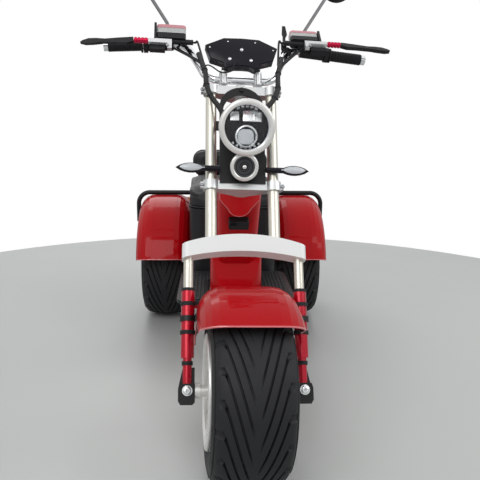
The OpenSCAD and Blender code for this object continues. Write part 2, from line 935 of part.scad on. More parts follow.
// A lever seen from ahead, as distance from its root and height
lever_t = 12;
lever_slope = 6;
lever_outline = [[0, -7], [0, 7], [40, 6], [84, 4], [110, 7], [131, 7], [149, 1], [155, -4], [140, -9],
    [118, -9], [94, -7], [50, -9], [20, -12]];
module levers() {
    color("#151516")
    fork()
    at_controls()
    translate([50 + adjuster_l + 2 * seat_gap + 1, lever_y + lever_t / 2, lever_z])
    rotate([0, lever_slope, 0])
    rotate([90, 0, 0])
    linear_extrude(lever_t)
    polygon(lever_outline);
}

mirror_c = [342, 122, 1318];
mirror_r = 56;
mirror_t = 24;
module mirrors() {
    color("#151516")
    fork()
    both() {
        base = on_bar(post_x) + [0, 8, 26 + seat_gap];
        bent_tube([base, base + [0, 2, 56], mirror_c - [20, 10, 20]], 10, 20);
        translate(base) cylinder(d = 16, h = 8, $fn = 6);
        translate(mirror_c)
        rotate([rake - 90, 0, 0])
        rotate_extrude($fn = 64)
        polygon([[0, -mirror_t], [22, -mirror_t], [mirror_r - 6, -10], [mirror_r, -2], [mirror_r, 4],
            [mirror_r - 5, 4], [mirror_r - 6, 2], [0, 2]]);
    }
}

panel_low = 902;
panel_h = 98;
panel_t = 26;
panel_back = 16;
panel_half = [[0, 8], [22, 7], [37, 0], [52, 0], [54, 16], [92, 28], [106, 72], [52, panel_h],
    [0, panel_h + 2]];
module instrument_panel() {
    color("#17171a")
    fork() {
        translate([0, panel_back, panel_low])
        rotate([90, 0, 0])
        linear_extrude(panel_t)
        polygon(both_wings(panel_half));
        for (side = [-1, 1])
            translate([side * riser_x - 6, bar_back - riser_t / 2 - seat_gap - 6, upper_clamp_top + 12])
                cube([12, 6, panel_low - upper_clamp_top]);
    }
}

// An outline drawn for the right half, completed on the left
function both_wings(half) =
    concat(half, [for (i = [len(half) - 1 : -1 : 0]) [-half[i].x, half[i].y]]);

// Leads run side by side from each hand control down to the plate behind the headlight
lead_d = 6.4;
lead_step = 11;
end_step = 8.5;
strip_y = web_front - bracket_t - seat_gap - lead_d / 2;
strip_x = bracket_half - 4.5;
// Each lead: where it leaves the control, and the way it sets off
lead_starts = [[-seat_gap, -30, -32], [pod_in + 20, -25, -10 - seat_gap], [pod_in - 22 - seat_gap, -38, -12]];
lead_aways = [[-30, 0, 0], [0, 0, -18], [-14, 0, 0]];
lead_end = lamp_at + 20;
module cables() {
    color("#121213")
    fork()
    for (side = [-1, 1], i = [0 : 2]) {
        off = [(1 - i) * lead_step, 0, 0];
        stop = [strip_x - end_step * i, strip_y, lead_end];
        start = lead_starts[i];
        away = lead_aways[i];
        scale_side(side)
        lead([control_point(start, side), control_point(start + away / 2, side),
            control_point(start + away, side), [124, 26, 966] + off, [106, -8, bar_low] + off,
            [102, -16, upper_clamp_at + 10] + off,
            [88, -18, lamp_at + 76] + off, stop + [14, -8, 26], stop], lead_d, 5);
    }
}

// Frame and body

axis_low = lower_clamp_at + clamp_t + 2;
head_top = 792;
beam_w = 176;

// Frame that stays straight: the fork's axes without the parked angle
module head_frame() {
    translate([0, front_y, tyre_r]) rotate([-rake, 0, 0]) children();
}

rail_x = 137;
rail_d = 40;
deck_t = 12;
mat_t = 4;
rail_z = deck_z - deck_t - rail_d / 2 - seat_gap;
rear_rail_z = 480;
seat_front = rear_y - 400;
seat_back = rear_y - 24;
beam_back = seat_front - 150;
fender_in = rear_x - rear_fender_w / 2 - seat_gap;
fender_out = rear_x + rear_fender_w / 2;

// Side views of the neck and the beam, as distance along the scooter and height
head_y = front_y + steer_offset * cos(rake);
head_z = tyre_r - steer_offset * sin(rake);
function on_axis(s, back) =
    [head_y + s * sin(rake) + back * cos(rake), head_z + s * cos(rake) - back * sin(rake)];
// Front line of the neck, from the head down to the beam
neck_a = on_axis(axis_low + 18, 10);
neck_b = [seat_front - 290, deck_z + 80];
neck_up = unit(neck_a - neck_b);
neck_l = norm(neck_a - neck_b);
neck_d = 84;
neck_w = 132;
// The neck widens below the sweep of the fork legs
neck_wide = 66;
// Point of the neck's middle line, a distance up from the height of neck_a
function on_neck_axis(up) =
    let (p = neck_a + neck_up * up + [neck_up.y, -neck_up.x] * neck_d / 2)
    [0, p.x, p.y];

module beam_side() {
    polygon([[seat_front - 300, deck_z + 170], [seat_front - 230, deck_z + 170], [beam_back, deck_z - 4],
        [beam_back, deck_z - 60], [seat_front - 330, deck_z - 60], [seat_front - 340, deck_z + 20]]);
}

// Inside: +Y runs up the front of the neck, +Z points out of it
module on_neck() {
    translate([0, neck_a.x, neck_a.y])
    rotate([atan2(neck_a.y - neck_b.y, neck_a.x - neck_b.x), 0, 0])
    children();
}

module main_frame() {
    color("#a80f22") {
        difference() {
            union() {
                head_frame()
                    translate([0, steer_offset, axis_low])
                    cylinder(d = head_d, h = head_top - axis_low);
                neck(neck_d);
                neck_box(0);
                intersection() {
                    translate([-beam_w / 2, 0, 0]) rotate([90, 0, 90]) linear_extrude(beam_w) beam_side();
                    translate([0, (seat_front - 340 + beam_back) / 2, 0])
                        rounded_box(beam_w, beam_back - seat_front + 340, 2 * deck_z, 60);
                }
            }
            head_frame() translate([0, steer_offset, axis_low - 10])
                cylinder(d = stem_d + 2 * run_gap, h = head_top - axis_low + 20);
        }
        both()
            bent_tube([[rail_x, seat_front - 300, rail_z], [rail_x, rear_y - 190, rail_z],
                [rail_x, rear_y - 60, rear_rail_z], [rail_x, rear_y + rail_end, rear_rail_z]], rail_d, 60);
        for (y = [seat_front - 60, seat_front - 270])
            translate([-rail_x, y, rail_z]) rotate([0, 90, 0]) cylinder(d = rail_d - 8, h = 2 * rail_x);
        for (y = [rear_y + 40, rear_y + 170])
            translate([-fender_in, y, rear_rail_z]) rotate([0, 90, 0]) cylinder(d = 30, h = 2 * fender_in);
    }
}

module neck(d) {
    rod(on_neck_axis(24), on_neck_axis(-neck_l), d);
}

// Wider box of the neck, grown by a gap all round
module neck_box(gap) {
    on_neck()
    translate([0, -neck_wide, -neck_d / 2])
    rotate([90, 0, 0])
    rounded_box(neck_w + 2 * gap, neck_d + 2 * gap, neck_l - neck_wide, 30 + gap);
}

// A rounded cover on the front of the neck
cover_l = 100;
cover_r = 110;
cover_rise = 18;
cover_top = -36;
cover_w = 118;
cover_side = 42;
cover_tip = 34;
// Where the slanted lower edges leave the round tip
tip_turn = 50;
tip_x = 0.9 * cover_tip * sin(tip_turn);
tip_y = 0.9 * cover_tip * cos(tip_turn);
cover_wrap = 26;
module cover_round(r) {
    translate([0, cover_top - cover_l - 20, cover_rise - cover_r])
        rotate([-90, 0, 0])
        cylinder(r = r, h = cover_l + 40);
}

module neck_cover() {
    color("#a80f22")
    difference() {
        on_neck()
        intersection() {
            translate([0, cover_top - cover_l, -cover_wrap])
            linear_extrude(cover_wrap + cover_rise + 10)
            union() {
                translate([0, cover_tip]) circle(r = cover_tip);
                polygon([[-tip_x, cover_tip - tip_y], [tip_x, cover_tip - tip_y],
                    [cover_w / 2, cover_l - cover_side], [cover_w / 2, cover_l], [-cover_w / 2, cover_l],
                    [-cover_w / 2, cover_l - cover_side]]);
            }
            cover_round(cover_r);
        }
        neck(neck_d + 2 * seat_gap);
        neck_box(seat_gap);
    }
}

// Key switch in its box, on the neck below the cover
lock_w = 62;
lock_l = 38;
lock_h = 20;
lock_drop = 40;
module ignition_lock() {
    color("#141415")
    on_neck() {
        translate([0, cover_top - cover_l - lock_drop, seat_gap]) rounded_box(lock_w, lock_l, lock_h, 6);
        translate([-lock_w / 4, cover_top - cover_l - lock_drop, lock_h]) cylinder(d = 17, h = 7);
    }
}

deck_front = seat_front - 380;
// The plan of the deck, cut out round the beam
module deck_plan(inset, t) {
    difference() {
        translate([0, (deck_front + seat_front) / 2, 0])
            rounded_box(deck_w - 2 * inset, seat_front - deck_front - 2 * inset, t, 40 - inset);
        translate([-beam_w / 2 - 1 - inset, deck_front - 20, -1])
            cube([beam_w + 2 + 2 * inset, beam_back - deck_front + 22 + inset, t + 2]);
    }
}

module deck() {
    color("#202022")
    translate([0, 0, deck_z - deck_t]) deck_plan(0, deck_t);
}

module deck_mat() {
    color("#121213")
    translate([0, 0, deck_z]) deck_plan(14, mat_t);
}

box_w = 2 * fender_in - 6;
box_wall = 4;
box_top = seat_z - seat_t;
box_low = rail_z + rail_d / 2 + seat_gap;
pan_low = rear_rail_z + rail_d / 2 + 4;
// Side view of the box below the seat, clear of the rising rails
module box_side(inset) {
    polygon([[seat_front + seat_gap + inset, box_low + inset], [rear_y - 226 - inset, box_low + inset],
        [rear_y - 90 - inset, pan_low + inset], [seat_back - inset, pan_low + inset],
        [seat_back - inset, box_top - inset], [seat_front + seat_gap + inset, box_top - inset]]);
}

module seat_box() {
    color("#1c1c1e")
    difference() {
        box_form(0);
        box_form(box_wall);
    }
}

module box_form(inset) {
    intersection() {
        translate([-box_w / 2 + inset, 0, 0])
            rotate([90, 0, 90]) linear_extrude(box_w - 2 * inset) box_side(inset);
        translate([0, (seat_front + seat_back) / 2, 0])
            rounded_box(box_w - 2 * inset, seat_back - seat_front - 2 * inset, seat_z, 50 - inset);
    }
}

battery_l = 140;
module battery() {
    color("#3a3a3c")
    translate([-130, seat_front + 14, box_low + box_wall]) cube([260, battery_l, 190]);
}

module seat() {
    color("#19191a")
    intersection() {
        translate([-seat_w / 2, 0, box_top + seat_gap])
            rotate([90, 0, 90])
            linear_extrude(seat_w)
            seat_side();
        translate([0, (seat_front + seat_back) / 2, box_top])
            rounded_box(seat_w, seat_back - seat_front, seat_t, 80);
    }
}

// Side view of the cushion: a low rounded nose, rising to the rear
module seat_side() {
    t = seat_t - seat_gap;
    polygon([[seat_front, 0], [seat_back, 0], [seat_back, t - 14], [seat_back - 14, t],
        [seat_front + 230, t - 3], [seat_front + 130, t - 14], [seat_front + 60, t - 22],
        [seat_front + 18, t - 40], [seat_front, t - 66]]);
}

backrest_y = rear_y + 62;
backrest_t = 64;
module backrest() {
    color("#19191a")
    translate([0, backrest_y + backrest_t / 2, (backrest_z + seat_z - 20) / 2])
    rotate([90, 0, 0])
    rounded_box(backrest_w, backrest_z - seat_z + 20, backrest_t, 46);
}

post_d = 20;
module backrest_posts() {
    color("#2a2a2c")
    both()
    difference() {
        translate([rail_x, backrest_y + backrest_t / 2 + post_d / 2 + seat_gap, rear_rail_z])
            cylinder(d = post_d, h = backrest_z - 30 - rear_rail_z);
        translate([rail_x, rear_y, rear_rail_z])
            rotate([-90, 0, 0])
            cylinder(d = rail_d + 2 * seat_gap, h = 200);
    }
}

fender_r = tyre_r + rear_gap + shell_t;
module rear_fender(side) {
    color("#a80f22")
    translate([side * rear_x, rear_y, tyre_r])
    fender_shell(shell_half(fender_r, rear_fender_w, 66, tyre_r + 6, shell_t), 17, 17);
}

module rear_fender_left() {
    rear_fender(1);
}

module rear_fender_right() {
    rear_fender(-1);
}

guard_d = 20;
guard_x = fender_out + guard_d / 2 + seat_gap;
guard_z = tyre_r + fender_r + guard_d / 2 + seat_gap;
module fender_guard() {
    color("#141415")
    translate([0, rear_y, 0])
    bent_tube([[-guard_x, 0, guard_z - 130], [-guard_x, 0, guard_z], [guard_x, 0, guard_z],
        [guard_x, 0, guard_z - 130]], guard_d, 50);
}

housing_d = 64;
housing_half = rear_x - rear_hub_in - 3;
module drive_axle() {
    color("#4a4b4e")
    translate([0, rear_y, tyre_r])
    rotate([0, 90, 0])
    difference() {
        union() {
            translate([0, 0, -housing_half]) cylinder(d = housing_d, h = 2 * housing_half);
            translate([0, 0, -80]) cylinder(d = 190, h = 150);
        }
        for (side = [-1, 1])
            translate([0, 0, side * housing_half - 62]) cylinder(d = stub_d + 2 * run_gap, h = 124);
    }
}

coil_d = 52;
damper_d = 30;
coils = 7;
shock_l = rear_rail_z - tyre_r;
coil_low = 60;
coil_pitch = (shock_l - coil_low - 50) / coils;
// Half the outline of a shock with its coil spring, from the axle upward
shock_half = concat(
    [[0, 0], [damper_d / 2 + 4, 0], [damper_d / 2 + 4, coil_low - 6], [coil_d / 2, coil_low - 6]],
    [for (i = [0 : coils - 1], k = [[26, 0], [26, 0.45], [21, 0.6], [21, 0.9]])
        [k[0] / 26 * coil_d / 2, coil_low + (i + k[1]) * coil_pitch]],
    [[coil_d / 2, coil_low + coils * coil_pitch], [coil_d / 2, shock_l - 44], [damper_d / 2, shock_l - 44],
        [damper_d / 2, shock_l], [0, shock_l]]);
module rear_shocks() {
    color("#8a8d91")
    both()
    difference() {
        translate([rail_x, rear_y, tyre_r]) rotate_extrude() polygon(shock_half);
        translate([0, rear_y, tyre_r]) rotate([0, 90, 0]) cylinder(d = housing_d + 2 * seat_gap, h = 300);
        translate([rail_x, rear_y - 60, rear_rail_z])
            rotate([-90, 0, 0]) cylinder(d = rail_d + 2 * seat_gap, h = 200);
    }
}

// Rear lamp bar on the ends of the rails
lens_t = 8;
rail_end = 200;
bar_w = 320;
bar_h = 66;
bar_y = rear_y + rail_end + seat_gap;
bar_l = rear_overhang - rail_end - lens_t - 2 * seat_gap;
module tail_lamp() {
    color("#161617")
    translate([0, bar_y + bar_l, rear_rail_z])
    rotate([90, 0, 0])
    rounded_box(bar_w, bar_h, bar_l, 26);
}

module tail_lenses() {
    color("#b3121c")
    translate([0, rear_y + rear_overhang, rear_rail_z])
    rotate([90, 0, 0])
    rounded_box(bar_w - 24, bar_h - 22, lens_t, 18);
}

// Rear signals stand out from the sides of the lamp bar
stalk_d = 14;
blinker_l = 62;
module rear_signals() {
    color("#c8761a")
    both()
    translate([bar_w / 2 + seat_gap, bar_y + bar_l / 2, rear_rail_z])
    rotate([0, 90, 0]) {
        cylinder(d = stalk_d, h = 24);
        translate([0, 0, 22])
        rotate_extrude()
        polygon([[0, 0], [14, 2], [19, 12], [20, 30], [17, 46], [9, blinker_l - 4], [0, blinker_l - 2]]);
    }
}

// A bare bracket for a plate below the lamp bar
plate_w = 180;
plate_h = 110;
plate_t = 4;
plate_holes = 120;
plate_hole_d = 7;
module plate_bracket() {
    color("#1b1b1d")
    translate([0, bar_y + bar_l - 30, rear_rail_z - bar_h / 2 - seat_gap]) {
        translate([-40, -20, -14]) cube([80, 40, 14]);
        translate([0, 20 - plate_t, -plate_h - 8])
        difference() {
            translate([0, plate_t, plate_h / 2 + 4])
                rotate([90, 0, 0]) rounded_box(plate_w, plate_h + 8, plate_t, 10);
            for (side = [-1, 1])
                translate([side * plate_holes / 2, -1, plate_h - 30])
                    rotate([-90, 0, 0]) cylinder(d = plate_hole_d, h = plate_t + 2, $fn = 32);
        }
    }
}

front_tyre();
front_rim();
front_disc();
rear_tyre_left();
rear_rim_left();
rear_tyre_right();
rear_rim_right();
lower_clamp();
upper_clamp();
fork_tubes();
fork_brace();
fork_sliders();
slider_rings();
axle_lugs();
front_axle();
front_fender();
fender_stays();
front_caliper();
lamp_bracket();
headlight_shell();
headlight_projector();
headlight_lens();
horn();
signal_bodies();
signal_lenses();
bar_risers();
handlebar();
grips();
brake_controls();
reservoirs();
reservoir_caps();
lever_brackets();
lever_adjusters();
levers();
mirrors();
instrument_panel();
cables();
main_frame();
neck_cover();
ignition_lock();
deck();
deck_mat();
seat_box();
battery();
seat();
backrest();
backrest_posts();
rear_fender_left();
rear_fender_right();
fender_guard();
drive_axle();
rear_shocks();
tail_lamp();
tail_lenses();
rear_signals();
plate_bracket();
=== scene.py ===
import json
import math

import bmesh
import bpy
from bpy.props import FloatProperty, FloatVectorProperty, IntProperty, PointerProperty
from mathutils import Matrix, Vector


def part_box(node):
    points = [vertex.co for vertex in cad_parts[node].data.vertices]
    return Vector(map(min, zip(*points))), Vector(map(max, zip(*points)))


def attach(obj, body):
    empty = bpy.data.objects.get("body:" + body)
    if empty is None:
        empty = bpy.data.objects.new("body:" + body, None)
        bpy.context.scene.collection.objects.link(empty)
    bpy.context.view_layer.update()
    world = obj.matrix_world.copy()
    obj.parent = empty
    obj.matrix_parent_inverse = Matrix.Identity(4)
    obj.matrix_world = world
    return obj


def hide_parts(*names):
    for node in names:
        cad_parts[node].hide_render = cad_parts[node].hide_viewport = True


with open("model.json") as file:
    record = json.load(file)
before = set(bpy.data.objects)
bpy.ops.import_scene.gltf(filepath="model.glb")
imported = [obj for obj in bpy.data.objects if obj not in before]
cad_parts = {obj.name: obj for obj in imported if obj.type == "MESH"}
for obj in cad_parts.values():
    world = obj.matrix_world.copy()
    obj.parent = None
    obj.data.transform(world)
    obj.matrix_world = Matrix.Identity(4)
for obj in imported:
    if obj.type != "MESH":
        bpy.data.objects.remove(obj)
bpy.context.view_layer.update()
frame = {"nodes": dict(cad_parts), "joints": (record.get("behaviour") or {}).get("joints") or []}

bl_info = {
    "name": "Fat-Tyre Trike Scooter",
    "version": (1, 0, 0),
    "blender": (4, 5, 0),
    "location": "View3D > Sidebar > Scooter",
    "description": "Finishes, soft seat and small hardware for a three-wheeled electric scooter",
    "category": "Add Mesh",
}

JOINTS = {joint["name"]: joint for joint in frame["joints"]}
NODES = frame["nodes"]

# Sizes of the solids that the pieces below repeat, in millimetres and degrees; RIM_SHARE is
# a share of the tyre's radius
TYRE_R = 229.5
TYRE_W = 194
RIM_SHARE = 0.623
RIM_W = 184
LIP = 16
LEG_X = 147
TUBE_X = 87
TUBE_BACK = 18
CLAMPS = (537, 828)
CLAMP_T = 26
RISER_X = 51
RISER_TOP = 904
BAR_BACK = 34
BAR_HALF = 399
GRIP_L = 108
BAR_KNEE = Vector((160, 96, 1042))
BAR_WAY = (Vector((399, 100, 1023)) - BAR_KNEE).normalized()
KNEE_WAY = (BAR_KNEE - Vector((98, 34, 888))).normalized()
CONTROL_TILT = -22
PANEL_LOW = 902
PANEL_BACK = 16
MIRROR_C = Vector((342, 122, 1318))
MIRROR_R = 56
LAMP_AT = 725
LAMP_AHEAD = 110
PROJECTOR_DROP = 24
HORN_AT = 606
HORN_AHEAD = 40
FENDER_FRONT_R = 260.5
FENDER_FRONT_W = 250
FENDER_REAR_R = 316.5
FENDER_REAR_W = 226
REAR_X = 286
REAR_Y = 589.75
PLATE_HOLES_Z = 408.8
# Top of the neck's front line, and its slope
NECK_TOP = (0, -372.26, 721.23)
NECK_TILT = 128.56
# Middle of each hand control along the bar
POD_X = 223
# How far the steering axis lies behind the fork's middle
STEER_BACK = 45
# Each lead: where it leaves the control, and the way it sets off
LEAD_STARTS = (
    ((-0.3, -30, -32), (-30, 0, 0)),
    ((-42, -25, -10.3), (0, 0, -18)),
    ((-84.3, -38, -12), (-14, 0, 0)),
)
# The way of the leads once they are drawn together, down to the plate behind the headlight
BUNDLE = (
    (124, 26, 966), (106, -8, 888), (102, -18, 838), (88, -20, 801), (65, -16, 771), (51, -7, 745),
)
# A thin wire from the panel's face across to the sleeve: sideways, back from the face, and up
# from the panel's foot
PANEL_WIRE = (
    (-15, 4, 30), (-17, -5, 20), (-24, -5, 3), (-36, -4, -12), (-52, -2, -17),
    (-66, 2, -11), (-79, 6, 1), (-91, 10, 11), (-100, 13, 14), (-107, 14, 8),
)
LEAD_R = 3.2
SLEEVE_R = 7.4
WIRE_R = 2.0
# Edges that turn by more than this many degrees are shown sharp
SHARP_EDGE = 35
# Metres in a millimetre
MM = 0.001
# How far apart the crests of a diagonal wave texture lie at scale 1
WAVE_PITCH = 0.363


def wheel_axes(x_axis, z_axis, middle):
    """A frame in millimetres from two of its axes and its origin in metres."""
    x, z = Vector(x_axis), Vector(z_axis)
    turned = Matrix((x, z.cross(x), z)).transposed().to_4x4()
    return Matrix.Translation(Vector(middle)) @ turned @ Matrix.Scale(MM, 4)


# Frames in millimetres: the whole scooter, and the front axle with +Z up the raked fork
ROW = Matrix.Scale(MM, 4)
FORK = wheel_axes(
    JOINTS["front_wheel_spin"]["axis"], JOINTS["steer"]["axis"], JOINTS["front_wheel_spin"]["pos_m"]
)
RAKE = math.atan2(JOINTS["steer"]["axis"][1], JOINTS["steer"]["axis"][2])
LEVEL = FORK @ Matrix.Rotation(RAKE, 4, "X")


def shift(x, y, z):
    """A move in millimetres, for use inside one of the frames."""
    return Matrix.Translation((x, y, z))


def turn(degrees, axis):
    """A turn about one of the three axes or a vector."""
    return Matrix.Rotation(math.radians(degrees), 4, axis)


def facing_ahead(at, ahead):
    """A frame on the fork whose +Z points level ahead, as the lamps do."""
    up_the_fork = FORK @ shift(0, 0, at) @ turn(math.degrees(RAKE), "X")
    return up_the_fork @ shift(0, -ahead, 0) @ turn(90, "X")


def linear(code):
    """An sRGB hex colour as the linear RGB that the shaders take."""
    parts = [int(code[i : i + 2], 16) / 255 for i in (1, 3, 5)]
    return tuple(c / 12.92 if c <= 0.04045 else ((c + 0.055) / 1.055) ** 2.4 for c in parts)


def colour(name, code, description):
    """A colour the user can change."""
    return FloatVectorProperty(
        name=name, description=description, subtype="COLOR",
        size=3, min=0, max=1, default=linear(code),
    )


def number(name, default, description, **limits):
    """A plain number the user can change."""
    return FloatProperty(name=name, description=description, default=default, **limits)


def length(name, millimetres, description):
    """A size in millimetres the user can change."""
    return number(name, millimetres, description, min=0, precision=2)


def angle(name, degrees, description, **limits):
    """An angle, given in degrees, that the user can change."""
    return number(name, math.radians(degrees), description, subtype="ANGLE", **limits)


class ScooterColours(bpy.types.PropertyGroup):
    """Colours of the finishes."""

    red: colour("Red", "#b3040f", "Sprayed enamel of the body, fenders and fork sliders")
    white: colour("White", "#f7f9f8", "Sprayed enamel of the fork brace")
    black: colour("Black", "#141415", "Powder coat of brackets, guard and lugs")
    plastic: colour("Plastic", "#17181a", "Moulded housings")
    rubber: colour("Rubber", "#1b1c1e", "Tyres, grips and mat")
    vinyl: colour("Vinyl", "#191a1c", "Cover of the seat and backrest")
    cap: colour("Reservoir cap", "#d99aa2", "Moulded caps of the brake fluid cups")
    adjuster: colour("Adjuster", "#cf1f4a", "Anodised lever adjusters")
    tail: colour("Tail lens", "#9c0f16", "Moulded tail lens")
    amber: colour("Amber lens", "#c8690f", "Moulded rear signal lenses")
    floor: colour("Floor", "#c3c6c3", "Plain floor below the scooter")


class ScooterTread(bpy.types.PropertyGroup):
    """Tread of the tyres."""

    grooves: IntProperty(
        name="Grooves", description="Slanted grooves on each half", default=20, min=12, max=48
    )
    depth: length("Depth", 6.5, "Depth of the grooves")
    slant: angle(
        "Slant", 16.5, "Angle of the grooves to the rolling direction",
        min=math.radians(10), max=math.radians(45),
    )


class ScooterCushions(bpy.types.PropertyGroup):
    """Seat and backrest."""

    voxel: length("Mesh size", 6, "Edge length of the simulated cover")
    inset: length("Inset", 4, "How much the padding starts below its full form")
    swell: length("Swell", 9, "Furthest that the cover may move outward")
    pressure: number("Pressure", 4.0, "Pressure of the padding", min=0, max=20)
    seam: length("Seam depth", 5, "Depth of the sewn channels")
    seam_width: length("Seam width", 5, "Width of the sewn channels")
    piping: length("Piping", 3.2, "Radius of the piping round the covers")


class ScooterStage(bpy.types.PropertyGroup):
    """Camera and light."""

    lens: number("Lens", 44.51, "Focal length on a 36 mm frame", subtype="DISTANCE_CAMERA")
    yaw: angle("Yaw", 2.739, "Turn of the view to the right")
    pitch: angle("Pitch", 12.222, "Tilt of the view downward")
    roll: angle("Roll", 0.638, "Roll of the view")
    place: FloatVectorProperty(
        name="Place", description="Where the camera stands",
        subtype="TRANSLATION", unit="LENGTH", size=3, default=(-0.0811, -2.0635, 0.9135),
    )
    floor_radius: number("Floor radius", 2.3, "Radius of the floor", unit="LENGTH")
    daylight: number("Daylight", 0.5, "Strength of the light from all round")
    softbox: number("Softbox", 62.0, "Power of the large lamp ahead")


# Finishes

def add_node(tree, kind, values=None, links=None):
    """Add one shader node with its settings, socket values and incoming links."""
    node = tree.nodes.new(kind)
    for name, value in (values or {}).items():
        if isinstance(name, str) and hasattr(node, name):
            setattr(node, name, value)
        else:
            node.inputs[name].default_value = value
    for name, source in (links or {}).items():
        tree.links.new(source, node.inputs[name])
    return node


def add_noise(tree, size, detail, place):
    """Add noise whose spots have a size in millimetres."""
    values = {"Scale": per_metre(size), "Detail": detail}
    return add_node(tree, "ShaderNodeTexNoise", values, {"Vector": place}).outputs["Fac"]


def add_bump(tree, strength, height, pattern, below=None):
    """Add relief of a height in millimetres to a pattern, on top of the relief below."""
    links = {"Height": pattern}
    if below:
        links["Normal"] = below
    values = {"Strength": strength, "Distance": height / 1000}
    return add_node(tree, "ShaderNodeBump", values, links).outputs["Normal"]


def per_metre(millimetres):
    """The scale at which a pattern repeats once in the given size."""
    return 1000 / millimetres


def rgba(tone):
    """A tone, given as an sRGB hex code or as linear RGB, with its alpha."""
    return (*(linear(tone) if isinstance(tone, str) else tone), 1.0)


def tinted(rgb, *factors):
    """A colour scaled by one factor, or by one for each part."""
    return tuple(min(1.0, c * f) for c, f in zip(rgb, factors * 3))


def surface(
    name, base, mottled, patch, rough, grain, relief, detail=3.0, stretch=(1, 1, 1), **sockets
):
    """A finish in two close tones with uneven gloss and a fine grain.

    patch and grain are sizes in millimetres, rough is the range of roughness, and relief
    is the height of the grain in millimetres.
    """
    material = bpy.data.materials.new(name)
    material.use_nodes = True
    tree = material.node_tree
    shader = tree.nodes["Principled BSDF"]
    for socket, value in sockets.items():
        shader.inputs[socket.replace("_", " ")].default_value = value
    place = add_node(tree, "ShaderNodeTexCoord").outputs["Object"]
    place = add_node(
        tree, "ShaderNodeMapping", {"Scale": stretch}, {"Vector": place}
    ).outputs["Vector"]
    patches = add_noise(tree, patch, detail, place)
    tones = add_node(
        tree, "ShaderNodeMix", {"data_type": "RGBA", 6: rgba(base), 7: rgba(mottled)}, {0: patches}
    ).outputs[2]
    gloss = add_node(
        tree, "ShaderNodeMapRange",
        {"From Min": 0.3, "From Max": 0.7, "To Min": rough[0], "To Max": rough[1]},
        {"Value": patches},
    ).outputs["Result"]
    bump = add_bump(tree, 0.6, relief, add_noise(tree, grain, 2.0, place))
    tree.links.new(tones, shader.inputs["Base Color"])
    tree.links.new(gloss, shader.inputs["Roughness"])
    tree.links.new(bump, shader.inputs["Normal"])
    return material


def grained_vinyl(rgb):
    """Coated vinyl, embossed with a leather grain: small rounded cells that catch the light."""
    material = surface(
        "Grained vinyl", rgb, tinted(rgb, 1.5), 60, (0.42, 0.58), 0.9, 0.15,
        Specular_IOR_Level=0.35,
    )
    tree = material.node_tree
    normal = tree.nodes["Principled BSDF"].inputs["Normal"]
    place = add_node(tree, "ShaderNodeTexCoord").outputs["Object"]
    # Real grain is about 1.5 mm; it is drawn at 4 mm so that it shows
    cells = add_node(
        tree, "ShaderNodeTexVoronoi",
        {"feature": "DISTANCE_TO_EDGE", "Scale": per_metre(4)}, {"Vector": place},
    ).outputs["Distance"]
    tree.links.new(add_bump(tree, 0.5, 0.6, cells, normal.links[0].from_socket), normal)
    return material


def woven_sleeve(rgb):
    """Braided nylon on leads: two sets of strands that cross, dull with small bright crowns."""
    material = surface(
        "Braided nylon sleeve", rgb, tinted(rgb, 1.8), 8, (0.55, 0.7), 1.2, 0.1
    )
    tree = material.node_tree
    place = add_node(tree, "ShaderNodeTexCoord").outputs["Object"]
    strands = []
    for way in ((0, 0, 0), (0, math.pi / 2, 0)):
        turned = add_node(tree, "ShaderNodeMapping", {"Rotation": way}, {"Vector": place})
        # Strands are 0.5 mm; they are drawn at 3 mm so that they show
        strands.append(add_node(
            tree, "ShaderNodeTexWave",
            {"bands_direction": "DIAGONAL", "Scale": WAVE_PITCH * per_metre(3)},
            {"Vector": turned.outputs["Vector"]},
        ).outputs["Fac"])
    crossed = add_node(
        tree, "ShaderNodeMath", {"operation": "MAXIMUM"}, dict(enumerate(strands))
    ).outputs[0]
    normal = tree.nodes["Principled BSDF"].inputs["Normal"]
    tree.links.new(add_bump(tree, 0.7, 0.8, crossed), normal)
    return material


